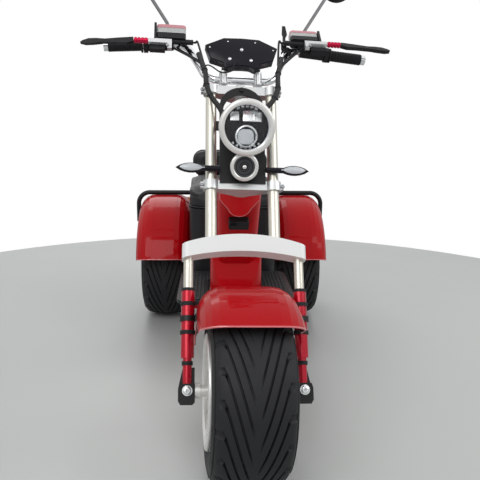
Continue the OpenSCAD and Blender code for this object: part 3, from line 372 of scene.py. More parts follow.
def make_finishes(colours):
    """All finishes by name."""
    red, white, black = colours.red, colours.white, colours.black
    plastic, rubber = colours.plastic, colours.rubber
    cap, adjuster, tail, amber = colours.cap, colours.adjuster, colours.tail, colours.amber
    return {
        # Gloss enamel sprayed on steel under clear lacquer: deep colour, sharp lights, faint
        # orange peel
        "red enamel": surface(
            "Sprayed red enamel", red, tinted(red, 1.2, 1.4, 1.3), 180, (0.3, 0.4), 5, 0.04,
            Specular_IOR_Level=0.05, Coat_Weight=0.4, Coat_Roughness=0.03, Coat_IOR=1.38,
        ),
        # The frame's red enamel on the neck's shield, made brighter: painted light where the shield
        # catches the light from above; the paint is the same as the neck's
        "painted lit enamel": surface(
            "Red enamel painted lit", tinted(red, 1.55, 1.3, 1.3), tinted(red, 1.7, 1.5, 1.5),
            180, (0.3, 0.4), 5, 0.04,
            Specular_IOR_Level=0.05, Coat_Weight=0.5, Coat_Roughness=0.03, Coat_IOR=1.38,
        ),
        # A rolled edge in pale pink: a painted highlight, the line of light that the edge catches
        "painted highlight edge": surface(
            "Rolled edge with painted highlight", "#e2787c", "#d5595f", 40, (0.16, 0.24), 3, 0.03,
            Coat_Weight=0.8,
        ),
        # The same enamel in white: soft, milky lights
        "white enamel": surface(
            "Sprayed white enamel", white, tinted(white, 0.96, 0.97, 0.96), 160, (0.3, 0.4),
            5, 0.04, Specular_IOR_Level=0.3, Coat_Weight=0.5, Coat_Roughness=0.06,
        ),
        # Candy lacquer over polished metal on the sliders: brighter red with a metal glow
        "candy red": surface(
            "Candy red lacquer", "#c80a2c", "#a80620", 90, (0.22, 0.3), 3, 0.03, Metallic=0.4,
            Specular_IOR_Level=0.2, Coat_Weight=0.6, Coat_Roughness=0.04, Coat_IOR=1.4,
        ),
        # Baked powder on steel: satin black with a fine pebble
        "powder coat": surface(
            "Black powder coat", black, tinted(black, 1.7), 70, (0.34, 0.46), 1.4, 0.12,
            Specular_IOR_Level=0.3,
        ),
        # The same powder in mid grey, smoother
        "grey coat": surface(
            "Grey powder coat", "#77777a", "#6a6a6d", 60, (0.3, 0.4), 1.4, 0.05, Metallic=0.3
        ),
        # Nickel and chrome plate on polished steel: near mirror, with a little haze
        "chrome": surface(
            "Chrome plate", "#eceef0", "#dfe1e4", 120, (0.05, 0.12), 30, 0.02, Metallic=1.0
        ),
        # Brushed and lacquered tube: soft streaks along the leg
        "brushed tube": surface(
            "Brushed steel tube", "#d8d5ca", "#cfccc0", 120, (0.3, 0.36), 4, 0.004,
            stretch=(3, 3, 0.3), Metallic=0.8,
        ),
        # Sand-cast aluminium, tumbled: pale grey, a soft sheen and small pits
        "cast aluminium": surface(
            "Cast aluminium", "#e0e1e1", "#cfd1d2", 22, (0.3, 0.42), 2.2, 0.12, Metallic=0.7
        ),
        # Turned and polished aluminium with fine marks of the lathe; its near-white base under only
        # half metal is partly the metal's pale tone and partly painted reflection, so that it looks
        # bright under any light
        "aluminium with painted reflection": surface(
            "Turned aluminium with painted reflection", "#efeeeb", "#e0dfdc", 60, (0.26, 0.36), 0.8, 0.03, Metallic=0.5
        ),
        # Ground steel of disc and bolts: grey with a fine scratch
        "ground steel": surface(
            "Ground steel", "#c6c8cb", "#8f9296", 16, (0.22, 0.36), 0.9, 0.04, Metallic=1.0
        ),
        # Cast iron under grey paint: dark and dull, a little rough
        "iron grey": surface(
            "Painted iron", "#3d3f42", "#55585b", 35, (0.45, 0.6), 2.5, 0.2, Metallic=0.3
        ),
        # Moulded and cured tyre rubber: charcoal, dry, slightly dusty
        "tyre": surface(
            "Moulded tyre rubber", rubber, tinted(rubber, 1.9, 1.85, 1.8), 45, (0.5, 0.68),
            1.6, 0.15, detail=6.0, Specular_IOR_Level=0.3,
        ),
        # Softer moulded rubber of grips, leads and mat: dull black, finer grain
        "soft rubber": surface(
            "Moulded soft rubber", rubber, tinted(rubber, 1.5), 25, (0.55, 0.72), 1.2, 0.15,
            Specular_IOR_Level=0.3,
        ),
        # Injection-moulded ABS with a spark-eroded grain: dark, broad lights
        "abs": surface(
            "Moulded ABS", plastic, tinted(plastic, 1.6), 50, (0.36, 0.48), 1.0, 0.1,
            Specular_IOR_Level=0.3,
        ),
        # Polished ABS of lamp and instrument housings: blue black, clearer lights
        "gloss abs": surface(
            "Polished ABS", "#101017", "#16161f", 80, (0.2, 0.3), 4, 0.03, Specular_IOR_Level=0.22
        ),
        # Moulded translucent caps: pale red with a waxy gloss
        "cap": surface(
            "Moulded acetal cap", cap, tinted(cap, 0.9, 0.8, 0.82), 20, (0.25, 0.35), 3, 0.05,
            Subsurface_Weight=0.1,
        ),
        # Anodised and dyed aluminium: metallic pink red
        "anodised": surface(
            "Dyed anodised aluminium", adjuster, tinted(adjuster, 0.8, 0.6, 0.7), 9, (0.2, 0.3),
            0.7, 0.03, Metallic=0.75,
        ),
        # Vacuum-metallised reflector: clean mirror with slight ripple
        "reflector": surface(
            "Metallised reflector", "#f0f2f4", "#dcdfe3", 15, (0.03, 0.1), 6, 0.1, Metallic=1.0
        ),
        # The same metal skin on a stippled box: bright and even
        "satin reflector": surface(
            "Stippled reflector", "#f6f7f8", "#e6e8ea", 6, (0.24, 0.34), 1.5, 0.08, Metallic=1.0
        ),
        # Injection-moulded polycarbonate: clear, hard coated
        "clear lens": surface(
            "Clear polycarbonate", "#ffffff", "#f4f8fa", 90, (0.02, 0.05), 9, 0.02,
            Transmission_Weight=1.0, IOR=1.58, Alpha=0.3,
        ),
        # Ribbed acrylic over white: pale and milky with a glassy skin
        "milky lens": surface(
            "Opal acrylic", "#eef1f4", "#d9dee4", 8, (0.06, 0.14), 3, 0.1,
            Transmission_Weight=0.2, IOR=1.49, Coat_Weight=0.4,
        ),
        # Frosted cup plastic: cloudy, lets light through
        "frosted cup": surface(
            "Frosted polypropylene", "#e9ebe8", "#d5d8d6", 12, (0.35, 0.5), 2, 0.06,
            Transmission_Weight=0.35, IOR=1.49,
        ),
        # Acrylic dyed through: deep colour with a glassy skin
        "red lens": surface(
            "Red acrylic", tail, tinted(tail, 0.75, 0.6, 0.6), 18, (0.08, 0.16), 5, 0.08,
            Transmission_Weight=0.35, IOR=1.49,
        ),
        # The same acrylic in amber
        "amber lens": surface(
            "Amber acrylic", amber, tinted(amber, 0.85, 0.75, 0.6), 18, (0.08, 0.16), 5, 0.08,
            Transmission_Weight=0.35, IOR=1.49,
        ),
        # Silvered glass of the mirrors: a clear, even mirror
        "mirror": surface(
            "Silvered glass", "#eef1f3", "#e2e6ea", 200, (0.02, 0.04), 40, 0.01, Metallic=1.0
        ),
        "vinyl": grained_vinyl(colours.vinyl),
        "sleeve": woven_sleeve(linear("#1a1a1b")),
    }


# The finish that each carried-over solid takes
NODE_FINISHES = {
    "red enamel": "front_fender main_frame rear_fender_left rear_fender_right",
    # The neck's shield: the frame's red enamel painted lighter, as painted light
    "painted lit enamel": "neck_cover",
    "candy red": "fork_sliders",
    "white enamel": "fork_brace",
    "powder coat": "axle_lugs fender_stays lamp_bracket backrest_posts fender_guard",
    "chrome": "handlebar headlight_shell",
    "brushed tube": "fork_tubes",
    "cast aluminium": "lower_clamp upper_clamp bar_risers lever_brackets",
    "aluminium with painted reflection": "front_rim rear_rim_left rear_rim_right front_axle",
    "ground steel": "front_disc",
    "iron grey": "drive_axle front_caliper rear_shocks battery",
    "tyre": "front_tyre rear_tyre_left rear_tyre_right",
    "soft rubber": "grips deck_mat slider_rings",
    "abs": "brake_controls levers mirrors ignition_lock deck seat_box tail_lamp plate_bracket horn",
    "gloss abs": "signal_bodies instrument_panel",
    "cap": "reservoir_caps",
    "anodised": "lever_adjusters",
    "reflector": "headlight_projector",
    "clear lens": "headlight_lens",
    "milky lens": "signal_lenses",
    "frosted cup": "reservoirs",
    "red lens": "tail_lenses",
    "amber lens": "rear_signals",
    "vinyl": "seat backrest",
    "sleeve": "cables",
}
FINISHES = {}


# Shared mesh making. Outlines and points are in millimetres of the frame given as place

def add_piece(name, mesh, body, finish, replaced=()):
    """Put a finished bmesh into the scene as a piece that rides on a body."""
    bmesh.ops.recalc_face_normals(mesh, faces=mesh.faces)
    data = bpy.data.meshes.new(name)
    mesh.to_mesh(data)
    mesh.free()
    for face in data.polygons:
        face.use_smooth = True
    piece = bpy.data.objects.new(name, data)
    bpy.context.scene.collection.objects.link(piece)
    data.set_sharp_from_angle(angle=math.radians(SHARP_EDGE))
    data.materials.append(FINISHES[finish])
    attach(piece, body)
    if replaced:
        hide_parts(*replaced)
    return piece


def join_rings(mesh, low, high):
    """Faces between two rings with the same count of corners."""
    count = len(low)
    for i in range(count):
        j = (i + 1) % count
        mesh.faces.new([low[i], low[j], high[j], high[i]])


def spin(mesh, outline, place, steps=32):
    """Turn an outline of radius and height about the place's +Z."""
    angles = [2 * math.pi * i / steps for i in range(steps)]
    rings = []
    for radius, height in outline:
        if radius < 1e-6:
            points = [(0, 0, height)]
        else:
            points = [(radius * math.cos(a), radius * math.sin(a), height) for a in angles]
        rings.append([mesh.verts.new(place @ Vector(p)) for p in points])
    for low, high in zip(rings, rings[1:]):
        for i in range(steps):
            j = i + 1
            corners = [
                low[i % len(low)], low[j % len(low)], high[j % len(high)], high[i % len(high)]
            ]
            corners = list(dict.fromkeys(corners))
            if len(corners) > 2:
                mesh.faces.new(corners)


def sweep(mesh, points, radius, place, sides=10, closed=False):
    """A round rod along points, with flat ends unless it is closed."""
    points = [Vector(p) for p in points]
    count = len(points)
    rings = []
    side = None
    for i, point in enumerate(points):
        ahead = points[(i + 1) % count] if closed or i + 1 < count else point
        behind = points[i - 1] if closed or i else point
        way = (ahead - behind).normalized()
        if side is None:
            side = way.orthogonal().normalized()
        side = (side - way * side.dot(way)).normalized()
        other = way.cross(side)
        rings.append([
            mesh.verts.new(place @ (point + radius * (side * math.cos(a) + other * math.sin(a))))
            for a in (2 * math.pi * k / sides for k in range(sides))
        ])
    pairs = list(zip(rings, rings[1:]))
    if closed:
        # The last ring may be turned against the first, so join each corner to its nearest
        first = min(range(sides), key=lambda k: (rings[-1][0].co - rings[0][k].co).length)
        pairs.append((rings[-1], rings[0][first:] + rings[0][:first]))
    else:
        mesh.faces.new(list(reversed(rings[0])))
        mesh.faces.new(rings[-1])
    for low, high in pairs:
        join_rings(mesh, low, high)


def smooth_path(points, steps):
    """A smooth curve through the points, with steps stretches between each two."""
    points = [Vector(p) for p in points]
    line = []
    for i in range(len(points) - 1):
        a, b = points[max(i - 1, 0)], points[i]
        c, d = points[i + 1], points[min(i + 2, len(points) - 1)]
        for k in range(steps):
            t = k / steps
            line.append(0.5 * (
                2 * b + (c - a) * t + (2 * a - 5 * b + 4 * c - d) * t * t
                + (3 * b - a - 3 * c + d) * t ** 3
            ))
    return line + [points[-1]]


def plate(mesh, outline, thickness, edge, place, rounds=2):
    """A plate with rounded edges: an outline in X and Y, raised along +Z."""
    part = bmesh.new()
    face = part.faces.new([part.verts.new((x, y, 0)) for x, y in outline])
    raised = bmesh.ops.extrude_face_region(part, geom=[face])["geom"]
    corners = [v for v in raised if isinstance(v, bmesh.types.BMVert)]
    bmesh.ops.translate(part, vec=(0, 0, thickness), verts=corners)
    bmesh.ops.recalc_face_normals(part, faces=part.faces)
    if edge:
        rim = [e for e in part.edges if abs(e.verts[0].co.z - e.verts[1].co.z) < 1e-6]
        bmesh.ops.bevel(
            part, geom=rim, offset=edge, segments=rounds, profile=0.5,
            affect="EDGES", clamp_overlap=True,
        )
    part.transform(place)
    data = bpy.data.meshes.new("plate")
    part.to_mesh(data)
    part.free()
    mesh.from_mesh(data)
    bpy.data.meshes.remove(data)


def rounded_outline(width, height, corner, steps=5):
    """A rectangle with round corners about the middle."""
    points = []
    for cx, cy, start in ((1, 1, 0), (-1, 1, 90), (-1, -1, 180), (1, -1, 270)):
        for i in range(steps + 1):
            a = math.radians(start + 90 * i / steps)
            points.append((
                cx * (width / 2 - corner) + corner * math.cos(a),
                cy * (height / 2 - corner) + corner * math.sin(a),
            ))
    return points


def dome_screw(mesh, across, height, place, sides=20):
    """A domed socket screw standing on the place's +Z."""
    r = across / 2
    spin(mesh, [
        (0, 0), (r, 0), (r, 0.3 * height), (0.9 * r, 0.62 * height), (0.66 * r, 0.92 * height),
        (0.5 * r, height), (0.42 * r, height), (0.4 * r, 0.4 * height), (0, 0.4 * height),
    ], place, sides)


def hex_bolt(mesh, across, height, place):
    """A hexagon head on a washer, standing on the place's +Z."""
    r = across / 2
    washer = [(0, 0), (1.3 * r, 0), (1.3 * r, 0.22 * height), (0, 0.22 * height)]
    spin(mesh, washer, place, 24)
    foot = 0.2 * height
    head = [(0, foot), (r, foot), (r, 0.9 * height), (0.86 * r, height), (0, height)]
    spin(mesh, head, place, 6)


def along(place, point, way):
    """A frame at a point of another frame, with +Z along way."""
    turned = Vector(way).to_track_quat("Z", "Y").to_matrix().to_4x4()
    return place @ Matrix.Translation(Vector(point)) @ turned


# Pieces, each made by one operator

def settings():
    """The user's sizes and colours."""
    return bpy.context.scene.scooter


class SCOOTER_OT_finishes(bpy.types.Operator):
    """Give every solid of the scooter its finish"""

    bl_idname = "scooter.finishes"
    bl_label = "Finish the solids"

    def execute(self, context):
        FINISHES.update(make_finishes(settings().colours))
        for finish, names in NODE_FINISHES.items():
            for name in names.split():
                data = NODES[name].data
                data.materials.clear()
                data.materials.append(FINISHES[finish])
        missing = set(NODES) - set(" ".join(NODE_FINISHES.values()).split())
        if missing:
            raise RuntimeError(f"no finish for {sorted(missing)}")
        return {"FINISHED"}


def arc_rows(middle, radius, start, end, count):
    """Points of an arc as radius and half width, angles from the rolling plane outward."""
    angles = [math.radians(start + (end - start) * i / (count - 1)) for i in range(count)]
    return [(middle[0] + radius * math.cos(a), middle[1] + radius * math.sin(a)) for a in angles]


# The tread's curve across the tyre, and where its rows lie from the middle
CROWN_R = 300
CROWN_ROWS = (0, 3, 6, 12, 20, 28, 36, 44, 52, 58, 62, 65)
# Columns from one groove to the next, and those that lie deep
TREAD_COLUMNS = 14
GROOVE_COLUMNS = (6, 7, 8)
# The grooves begin between these distances from the middle, and stop leaning at the last
GROOVE_START = 6
GROOVE_FULL = 18
GROOVE_END = 70.0
# Moulded rings on the wall: their height, and their rows from the shoulder
WALL_RING = 1.2
WALL_RING_ROWS = (4, 8)


def tyre_rows():
    """Rows across one half of a tyre, from the middle of the tread to the bead."""
    half = TYRE_W / 2
    rim_r = TYRE_R * RIM_SHARE
    section = TYRE_R - rim_r
    crown = [(TYRE_R - CROWN_R + math.sqrt(CROWN_R ** 2 - y * y), y) for y in CROWN_ROWS]
    shoulder_c = (TYRE_R - 0.416 * section, half - 0.358 * section)
    shoulder = arc_rows(shoulder_c, 0.31 * section, 14, 70, 6)
    wall_c = (TYRE_R - 0.543 * section, half - 0.69 * section)
    wall = arc_rows(wall_c, 0.69 * section, 70, 128, 14)
    bead = [(rim_r + 1, RIM_W / 2 - 7.3), (rim_r - LIP + 0.3, RIM_W / 2 - 7.3)]
    return crown + shoulder + wall + bead, len(crown), len(crown) + len(shoulder)


def build_tyre(name, joint, up, body, replaced, tread):
    """One tyre as a grid whose columns lean along the slanted grooves."""
    rows, crown_end, shoulder_end = tyre_rows()
    count = tread.grooves * TREAD_COLUMNS
    place = wheel_axes(joint["axis"], up, joint["pos_m"])
    mesh = bmesh.new()
    halves = []
    for side in (-1, 1):
        grid = []
        for k, (radius, y) in enumerate(rows):
            lean = min(y, GROOVE_END) / math.tan(tread.slant) / TYRE_R
            fade = min(1.0, max(0.0, (y - GROOVE_START) / (GROOVE_FULL - GROOVE_START)))
            on_wall = radius > TYRE_R * RIM_SHARE + 8
            ring = WALL_RING if on_wall and k - shoulder_end in WALL_RING_ROWS else 0.0
            row = []
            for i in range(count):
                deep = tread.depth * fade if i % TREAD_COLUMNS in GROOVE_COLUMNS else 0.0
                if k >= crown_end:
                    # Every third groove runs out over the shoulder and ends on the wall
                    run = 1 - (k - crown_end) / (shoulder_end - crown_end + 3)
                    long_one = i // TREAD_COLUMNS % 3 == 0
                    deep *= max(0.0, run if long_one else 3 * run - 2)
                width = side * (y + ring - (deep * 0.8 if k >= crown_end else 0.0))
                scale = (radius - deep) / radius
                # Angles start at the front of the wheel and go up, so that the V points down
                # there; the halves are staggered by half a groove
                a = 2 * math.pi * (i / TREAD_COLUMNS + 0.25 * side) / tread.grooves + lean
                point = (width, -radius * scale * math.cos(a), radius * scale * math.sin(a))
                row.append(mesh.verts.new(place @ Vector(point)))
            grid.append(row)
        halves.append(grid)
        for low, high in zip(grid, grid[1:]):
            join_rings(mesh, low, high)
    # The two halves meet in the middle of the tread, turned by the stagger, and at the beads
    (first, *_, first_bead), (second, *_, second_bead) = halves
    stagger = TREAD_COLUMNS // 2
    join_rings(mesh, first[stagger:] + first[:stagger], second)
    join_rings(mesh, first_bead, second_bead)
    bmesh.ops.remove_doubles(mesh, verts=mesh.verts, dist=1e-5)
    add_piece(name, mesh, body, "tyre", [replaced])


class SCOOTER_OT_tyres(bpy.types.Operator):
    """Tyres with slanted tread grooves that run out over the shoulders"""

    bl_idname = "scooter.tyres"
    bl_label = "Tyres"

    def execute(self, context):
        tread = settings().tread
        front, up = JOINTS["front_wheel_spin"], JOINTS["steer"]["axis"]
        build_tyre("tread_front", front, up, "front_wheel", "front_tyre", tread)
        for side in ("left", "right"):
            build_tyre(
                f"tread_rear_{side}", JOINTS[f"rear_wheel_{side}_spin"], (0, 0, 1),
                f"rear_wheel_{side}", f"rear_tyre_{side}", tread,
            )
        return {"FINISHED"}


class SCOOTER_OT_headlight(bpy.types.Operator):
    """Reflector bowl, projector, mirror windows and running lights behind the lens"""

    bl_idname = "scooter.headlight"
    bl_label = "Headlight"

    BOWL = ((0, -16), (52, -16), (57.5, -13), (58.5, -8), (58.5, -10), (57, -18), (0, -18))
    # Mirror boxes above, split by a dark post and tilted to the sky: outline and sideways place
    WINDOWS = (
        (((-25, -14), (25, -14), (25, 12), (4, 17), (-25, 14)), 14),
        (((-12, -13), (12, -13), (12, 12), (-7, 12), (-12, 4)), -33),
    )
    WINDOW_UP = 28
    WINDOW_TILT = -22
    # Small mirrors above and studs below, both on a ring near the bezel
    BOX_RING = 54
    STUD_RING = 54.5
    STUD_STEP = 13
    STUD = ((0, -14), (3.8, -14), (3.8, -6), (2.6, -4), (0, -3.4))
    PROJECTOR_RING = (
        (25, -13), (31, -13), (31, -1), (29.6, 2), (27, 3), (25.4, 1.5), (24.4, -6), (25, -13),
    )
    BEZEL = (
        (60.6, 17.4), (60.9, 18.8), (62.5, 19.4), (69.5, 19), (72.5, 17.6),
        (74.6, 14), (74.9, 9), (74.9, 6), (73, 8),
    )

    def execute(self, context):
        lamp = facing_ahead(LAMP_AT, LAMP_AHEAD)
        bowl = bmesh.new()
        spin(bowl, self.BOWL, lamp, 64)
        add_piece(
            "lamp_bowl", bowl, "steering", "gloss abs", ["headlight_projector"]
        )
        mirrors = bmesh.new()
        for outline, x in self.WINDOWS:
            plate(mirrors, outline, 3, 1, self.window(lamp, x))
        plate(mirrors, rounded_outline(5, 24, 2), 5, 1.2, self.window(lamp, 20))
        for i in range(5):
            step = self.STUD_STEP * (i - 2)
            box = self.on_ring(lamp, self.BOX_RING, 90 + step, -8)
            box = box @ turn(step, "Z") @ turn(-30, "X")
            plate(mirrors, rounded_outline(9, 5, 1.5), 3, 0.8, box)
        spin(mirrors, self.PROJECTOR_RING, lamp @ shift(0, -PROJECTOR_DROP, 0), 48)
        for i in range(7):
            stud = self.on_ring(lamp, self.STUD_RING, -90 + self.STUD_STEP * (i - 3), 0)
            spin(mirrors, self.STUD, stud, 12)
        add_piece("lamp_mirrors", mirrors, "steering", "satin reflector")
        # The projector's clear lens takes the pale opal finish: painted reflection, standing in for
        # the brightness that its glass shows
        pupil = bmesh.new()
        eye = lamp @ shift(-1, -PROJECTOR_DROP - 1, -10)
        plate(pupil, rounded_outline(45, 41, 15), 9, 4, eye, 4)
        add_piece("lamp_projector_lens", pupil, "steering", "milky lens")
        bezel = bmesh.new()
        spin(bezel, self.BEZEL, lamp, 96)
        add_piece("lamp_bezel", bezel, "steering", "aluminium with painted reflection")
        return {"FINISHED"}

    def window(self, lamp, x):
        """A frame for a mirror box above the projector."""
        return lamp @ shift(x, self.WINDOW_UP, -8) @ turn(self.WINDOW_TILT, "X")

    def on_ring(self, lamp, radius, degrees, height):
        """A frame on a ring round the lamp's middle."""
        a = math.radians(degrees)
        return lamp @ shift(radius * math.cos(a), radius * math.sin(a), height)


class SCOOTER_OT_horn(bpy.types.Operator):
    """Bright ring and ribbed sound plate of the horn"""

    bl_idname = "scooter.horn"
    bl_label = "Horn"

    RING = (
        (28.4, 3), (28.6, 6), (31, 8), (35, 8), (38, 6), (39.2, 2), (38.6, -3), (37, 3), (28.4, 3),
    )
    BUTTON = ((0, 4.6), (5.4, 4.6), (5.4, 7), (4, 8.4), (2, 9), (0, 9.1))
    RIB_FIRST = 9
    RIB_STEP = 4.6

    def execute(self, context):
        place = facing_ahead(HORN_AT, HORN_AHEAD)
        ring = bmesh.new()
        spin(ring, self.RING, place, 64)
        spin(ring, self.BUTTON, place, 24)
        add_piece("horn_ring", ring, "steering", "aluminium with painted reflection")
        ribs = bmesh.new()
        outline = [(0, 3.4), (7, 3.4)]
        for i in range(4):
            r = self.RIB_FIRST + self.RIB_STEP * i
            outline += [(r, 3.4), (r + 0.7, 5.2), (r + 2, 5.2), (r + 2.6, 3.4)]
        spin(ribs, outline + [(29.5, 3.4), (29.5, 2.2), (0, 2.2)], place, 64)
        add_piece("horn_ribs", ribs, "steering", "iron grey")
        return {"FINISHED"}


def node_corners(name, place, side=0):
    """Lowest and highest corner of a solid in millimetres of a frame.

    With side 1 or -1, only of the half on that side.
    """
    back = place.inverted()
    points = [back @ v.co for v in NODES[name].data.vertices]
    points = [p for p in points if side == 0 or p.x * side > 0]
    return [Vector([pick(p[i] for p in points) for i in range(3)]) for pick in (min, max)]


def ahead_of(point):
    """A frame on the fork at a point, with +Z toward the front."""
    return FORK @ shift(*point) @ turn(90, "X")


def on_bar(x):
    """Point of the handlebar's outer stretch at a distance from the middle, on the right."""
    return BAR_KNEE + BAR_WAY * ((x - BAR_KNEE.x) / BAR_WAY.x)


def other_side(point, side):
    """The same point on the given side of the fork."""
    return Vector((point.x * side, point.y, point.z))


def on_control(point, side):
    """A point given from the middle of a hand control, in the fork's frame."""
    tilt = Matrix.Rotation(math.radians(0 if side < 0 else CONTROL_TILT), 3, "X")
    return other_side(on_bar(POD_X) + tilt @ Vector(point), side)


def round_corner(start, corner, end, radius, steps=8):
    """A line from start to end that turns round a corner in an arc."""
    before, after = (corner - start).normalized(), (end - corner).normalized()
    half = before.angle(after) / 2
    middle = corner + (after - before).normalized() * (radius / math.cos(half))
    spoke = corner - before * radius * math.tan(half) - middle
    axis = before.cross(after).normalized()
    arc = [Matrix.Rotation(2 * half * i / steps, 3, axis) @ spoke for i in range(steps + 1)]
    return [start] + [middle + p for p in arc] + [end]


class SCOOTER_OT_grips(bpy.types.Operator):
    """Ribbed rubber grips with a flange, and bright caps on the bar ends"""

    bl_idname = "scooter.grips"
    bl_label = "Grips"

    RIBS = 17
    BORE_R = 11.4
    GRIP_R = 17
    RIB_FOOT_R = 15.8
    CAP = ((0, 0), (11, 0), (14.5, 0.4), (15, 1.6), (13.6, 3), (6, 3.4), (5, 2.2), (0, 2.2))

    def execute(self, context):
        rubber, caps = bmesh.new(), bmesh.new()
        start, end = BAR_HALF - GRIP_L, BAR_HALF - 3.5
        outline = self.profile((on_bar(end) - on_bar(start)).length)
        for side in (-1, 1):
            way = other_side(BAR_WAY, side)
            spin(rubber, outline, along(FORK, other_side(on_bar(start), side), way), 36)
            spin(caps, self.CAP, along(FORK, other_side(on_bar(end), side), way), 32)
        add_piece("grip_ribs", rubber, "steering", "soft rubber", ["grips"])
        add_piece("bar_end_caps", caps, "steering", "chrome")
        return {"FINISHED"}

    def profile(self, span):
        """The grip's outline: a flange, the ribs and a plain end."""
        bore, full, foot = self.BORE_R, self.GRIP_R, self.RIB_FOOT_R
        outline = [(bore, 0), (21, 0), (22, 1.5), (22, 4.5), (20.5, 6), (full, 7)]
        step = (span - 16) / self.RIBS
        for i in range(self.RIBS):
            z = 9 + i * step
            outline += [
                (foot, z), (full, z + 0.22 * step), (full, z + 0.66 * step), (foot, z + 0.88 * step)
            ]
        return outline + [(full, span - 6), (full, span - 2), (16, span), (bore, span), (bore, 0)]


class SCOOTER_OT_fork_bolts(bpy.types.Operator):
    """Axle lug bolts, clamp bolts, tube caps, riser posts and screws, and the stem nut"""

    bl_idname = "scooter.fork_bolts"
    bl_label = "Fork bolts"

    STEM_NUT = ((0, 0), (15, 0), (15.6, 1.5), (15.6, 15), (14, 18), (8, 19.6), (0, 20))
    POST = (
        (0, 0), (9.8, 0), (9.8, 3), (8.7, 4.2), (8.7, 34), (9.8, 35), (9.8, 41), (8, 43), (0, 43),
    )
    # How far a post stands ahead of the bar, and above the clamp
    POST_AHEAD = 21.3
    POST_UP = 8
    AXLE_WASHER = ((0, -0.5), (12.8, -0.5), (12.8, 1.2), (12.2, 2), (0, 2))
    TUBE_CAP = ((0, 0), (16.5, 0), (17, 1.5), (16, 4.5), (11, 6.5), (7, 7), (6.4, 5), (0, 5))
    # A clamp's pinch bolt from the tube's middle: sideways, ahead, up
    EAR = (26, 8, 13)

    def execute(self, context):
        steel, chrome, posts = bmesh.new(), bmesh.new(), bmesh.new()
        clamp_top = CLAMPS[1] + CLAMP_T
        spin(posts, self.STEM_NUT, FORK @ shift(0, STEER_BACK, clamp_top), 32)
        for side in (-1, 1):
            riser = side * RISER_X
            post = FORK @ shift(riser, BAR_BACK - self.POST_AHEAD, clamp_top + self.POST_UP)
            spin(posts, self.POST, post, 28)
            low, _ = node_corners("axle_lugs", FORK, side)
            bolt = ahead_of((side * LEG_X, low.y, 0))
            dome_screw(chrome, 23, 5, bolt, 28)
            spin(chrome, self.AXLE_WASHER, bolt, 32)
            out, ahead, up = self.EAR
            for at in CLAMPS:
                ear = (side * (TUBE_X + out), TUBE_BACK - ahead, at + up)
                dome_screw(steel, 11, 5, ahead_of(ear), 18)
            spin(chrome, self.TUBE_CAP, FORK @ shift(side * TUBE_X, TUBE_BACK, clamp_top), 36)
            for y in (-11, 11):
                dome_screw(chrome, 10, 4.5, FORK @ shift(riser, BAR_BACK + y, RISER_TOP), 18)
        add_piece("fork_bolts", steel, "steering", "ground steel")
        add_piece("fork_caps", chrome, "steering", "chrome")
        add_piece("riser_posts", posts, "steering", "cast aluminium")
        return {"FINISHED"}


class SCOOTER_OT_panel(bpy.types.Operator):
    """Bevelled face and screws of the instrument panel, with the dark screen toward the rider"""

    bl_idname = "scooter.panel"
    bl_label = "Instrument panel"

    # One half of the face, up from its foot
    HALF_FACE = (
        (0, 10), (22, 9), (37, 2.5), (50, 2.5), (52, 18),
        (90, 30), (103, 71), (51, 95.5), (0, 97.5),
    )
    LARGE_SCREWS = ((0, 60), (-35, 28), (27, 26))
    SMALL_SCREWS = ((-93, 64), (-40, 86), (40, 86), (93, 64))
    SCREEN_UP = 58

    def execute(self, context):
        low, _ = node_corners("instrument_panel", FORK)
        front = ahead_of((0, low.y, PANEL_LOW))
        half = list(self.HALF_FACE)
        face = bmesh.new()
        outline = half + [(-x, y) for x, y in reversed(half[1:-1])]
        plate(face, outline, 2.6, 2.0, front @ shift(0, 0, -0.4))
        add_piece("panel_face", face, "steering", "gloss abs")
        screws = bmesh.new()
        for x, y in self.LARGE_SCREWS:
            dome_screw(screws, 11, 4.5, front @ shift(x, y, 2), 22)
        for x, y in self.SMALL_SCREWS:
            dome_screw(screws, 5, 1.8, front @ shift(x, y, 2), 14)
        add_piece("panel_screws", screws, "steering", "chrome")
        surround, screen = bmesh.new(), bmesh.new()
        back = FORK @ shift(0, PANEL_BACK, PANEL_LOW + self.SCREEN_UP) @ turn(-90, "X")
        plate(surround, rounded_outline(168, 66, 14), 3, 1.4, back)
        add_piece("panel_surround", surround, "steering", "abs")
        plate(screen, rounded_outline(146, 48, 8), 1.4, 0.6, back @ shift(0, 0, 2.6))
        add_piece("panel_screen", screen, "steering", "gloss abs")
        return {"FINISHED"}


class SCOOTER_OT_mirrors(bpy.types.Operator):
    """Silvered glass in the mirror shells, the knuckles behind them, and sleeves on the stems"""

    bl_idname = "scooter.mirrors"
    bl_label = "Mirrors"

    STEM_R = 5.5
    STEM_BEND = 20
    COLLAR = ((5, -0.5), (8, -0.5), (8, 5), (7, 6.5), (5, 7))
    KNUCKLE = ((0, -31), (8, -30), (11.5, -27), (12.5, -24), (17, -22), (23, -20), (0, -20))

    def execute(self, context):
        glass, knuckles, sleeves = bmesh.new(), bmesh.new(), bmesh.new()
        foot = on_bar(POD_X - 5) + Vector((0, 8, 26.3))
        stem = round_corner(
            foot + Vector((0, 0.3, 8.5)), foot + Vector((0, 2, 56)),
            MIRROR_C - Vector((20, 10, 20)), self.STEM_BEND,
        )
        r = MIRROR_R - 6.3
        pane = [(0, 1.5), (r, 1.5), (r, 2.6), (r - 1.2, 3.4), (0.6 * r, 3.7), (0, 3.8)]
        for side in (-1, 1):
            sweep(sleeves, [other_side(p, side) for p in stem], self.STEM_R, FORK, 14)
            spin(sleeves, self.COLLAR, along(FORK, other_side(stem[0], side), (0, 0, 1)), 24)
            middle = FORK @ shift(*other_side(MIRROR_C, side))
            place = middle @ turn(math.degrees(RAKE) - 90, "X")
            spin(glass, pane, place, 64)
            spin(knuckles, self.KNUCKLE, place, 32)
        add_piece("mirror_glass", glass, "steering", "mirror")
        add_piece("mirror_knuckles", knuckles, "steering", "abs")
        add_piece("mirror_sleeves", sleeves, "steering", "grey coat")
        return {"FINISHED"}


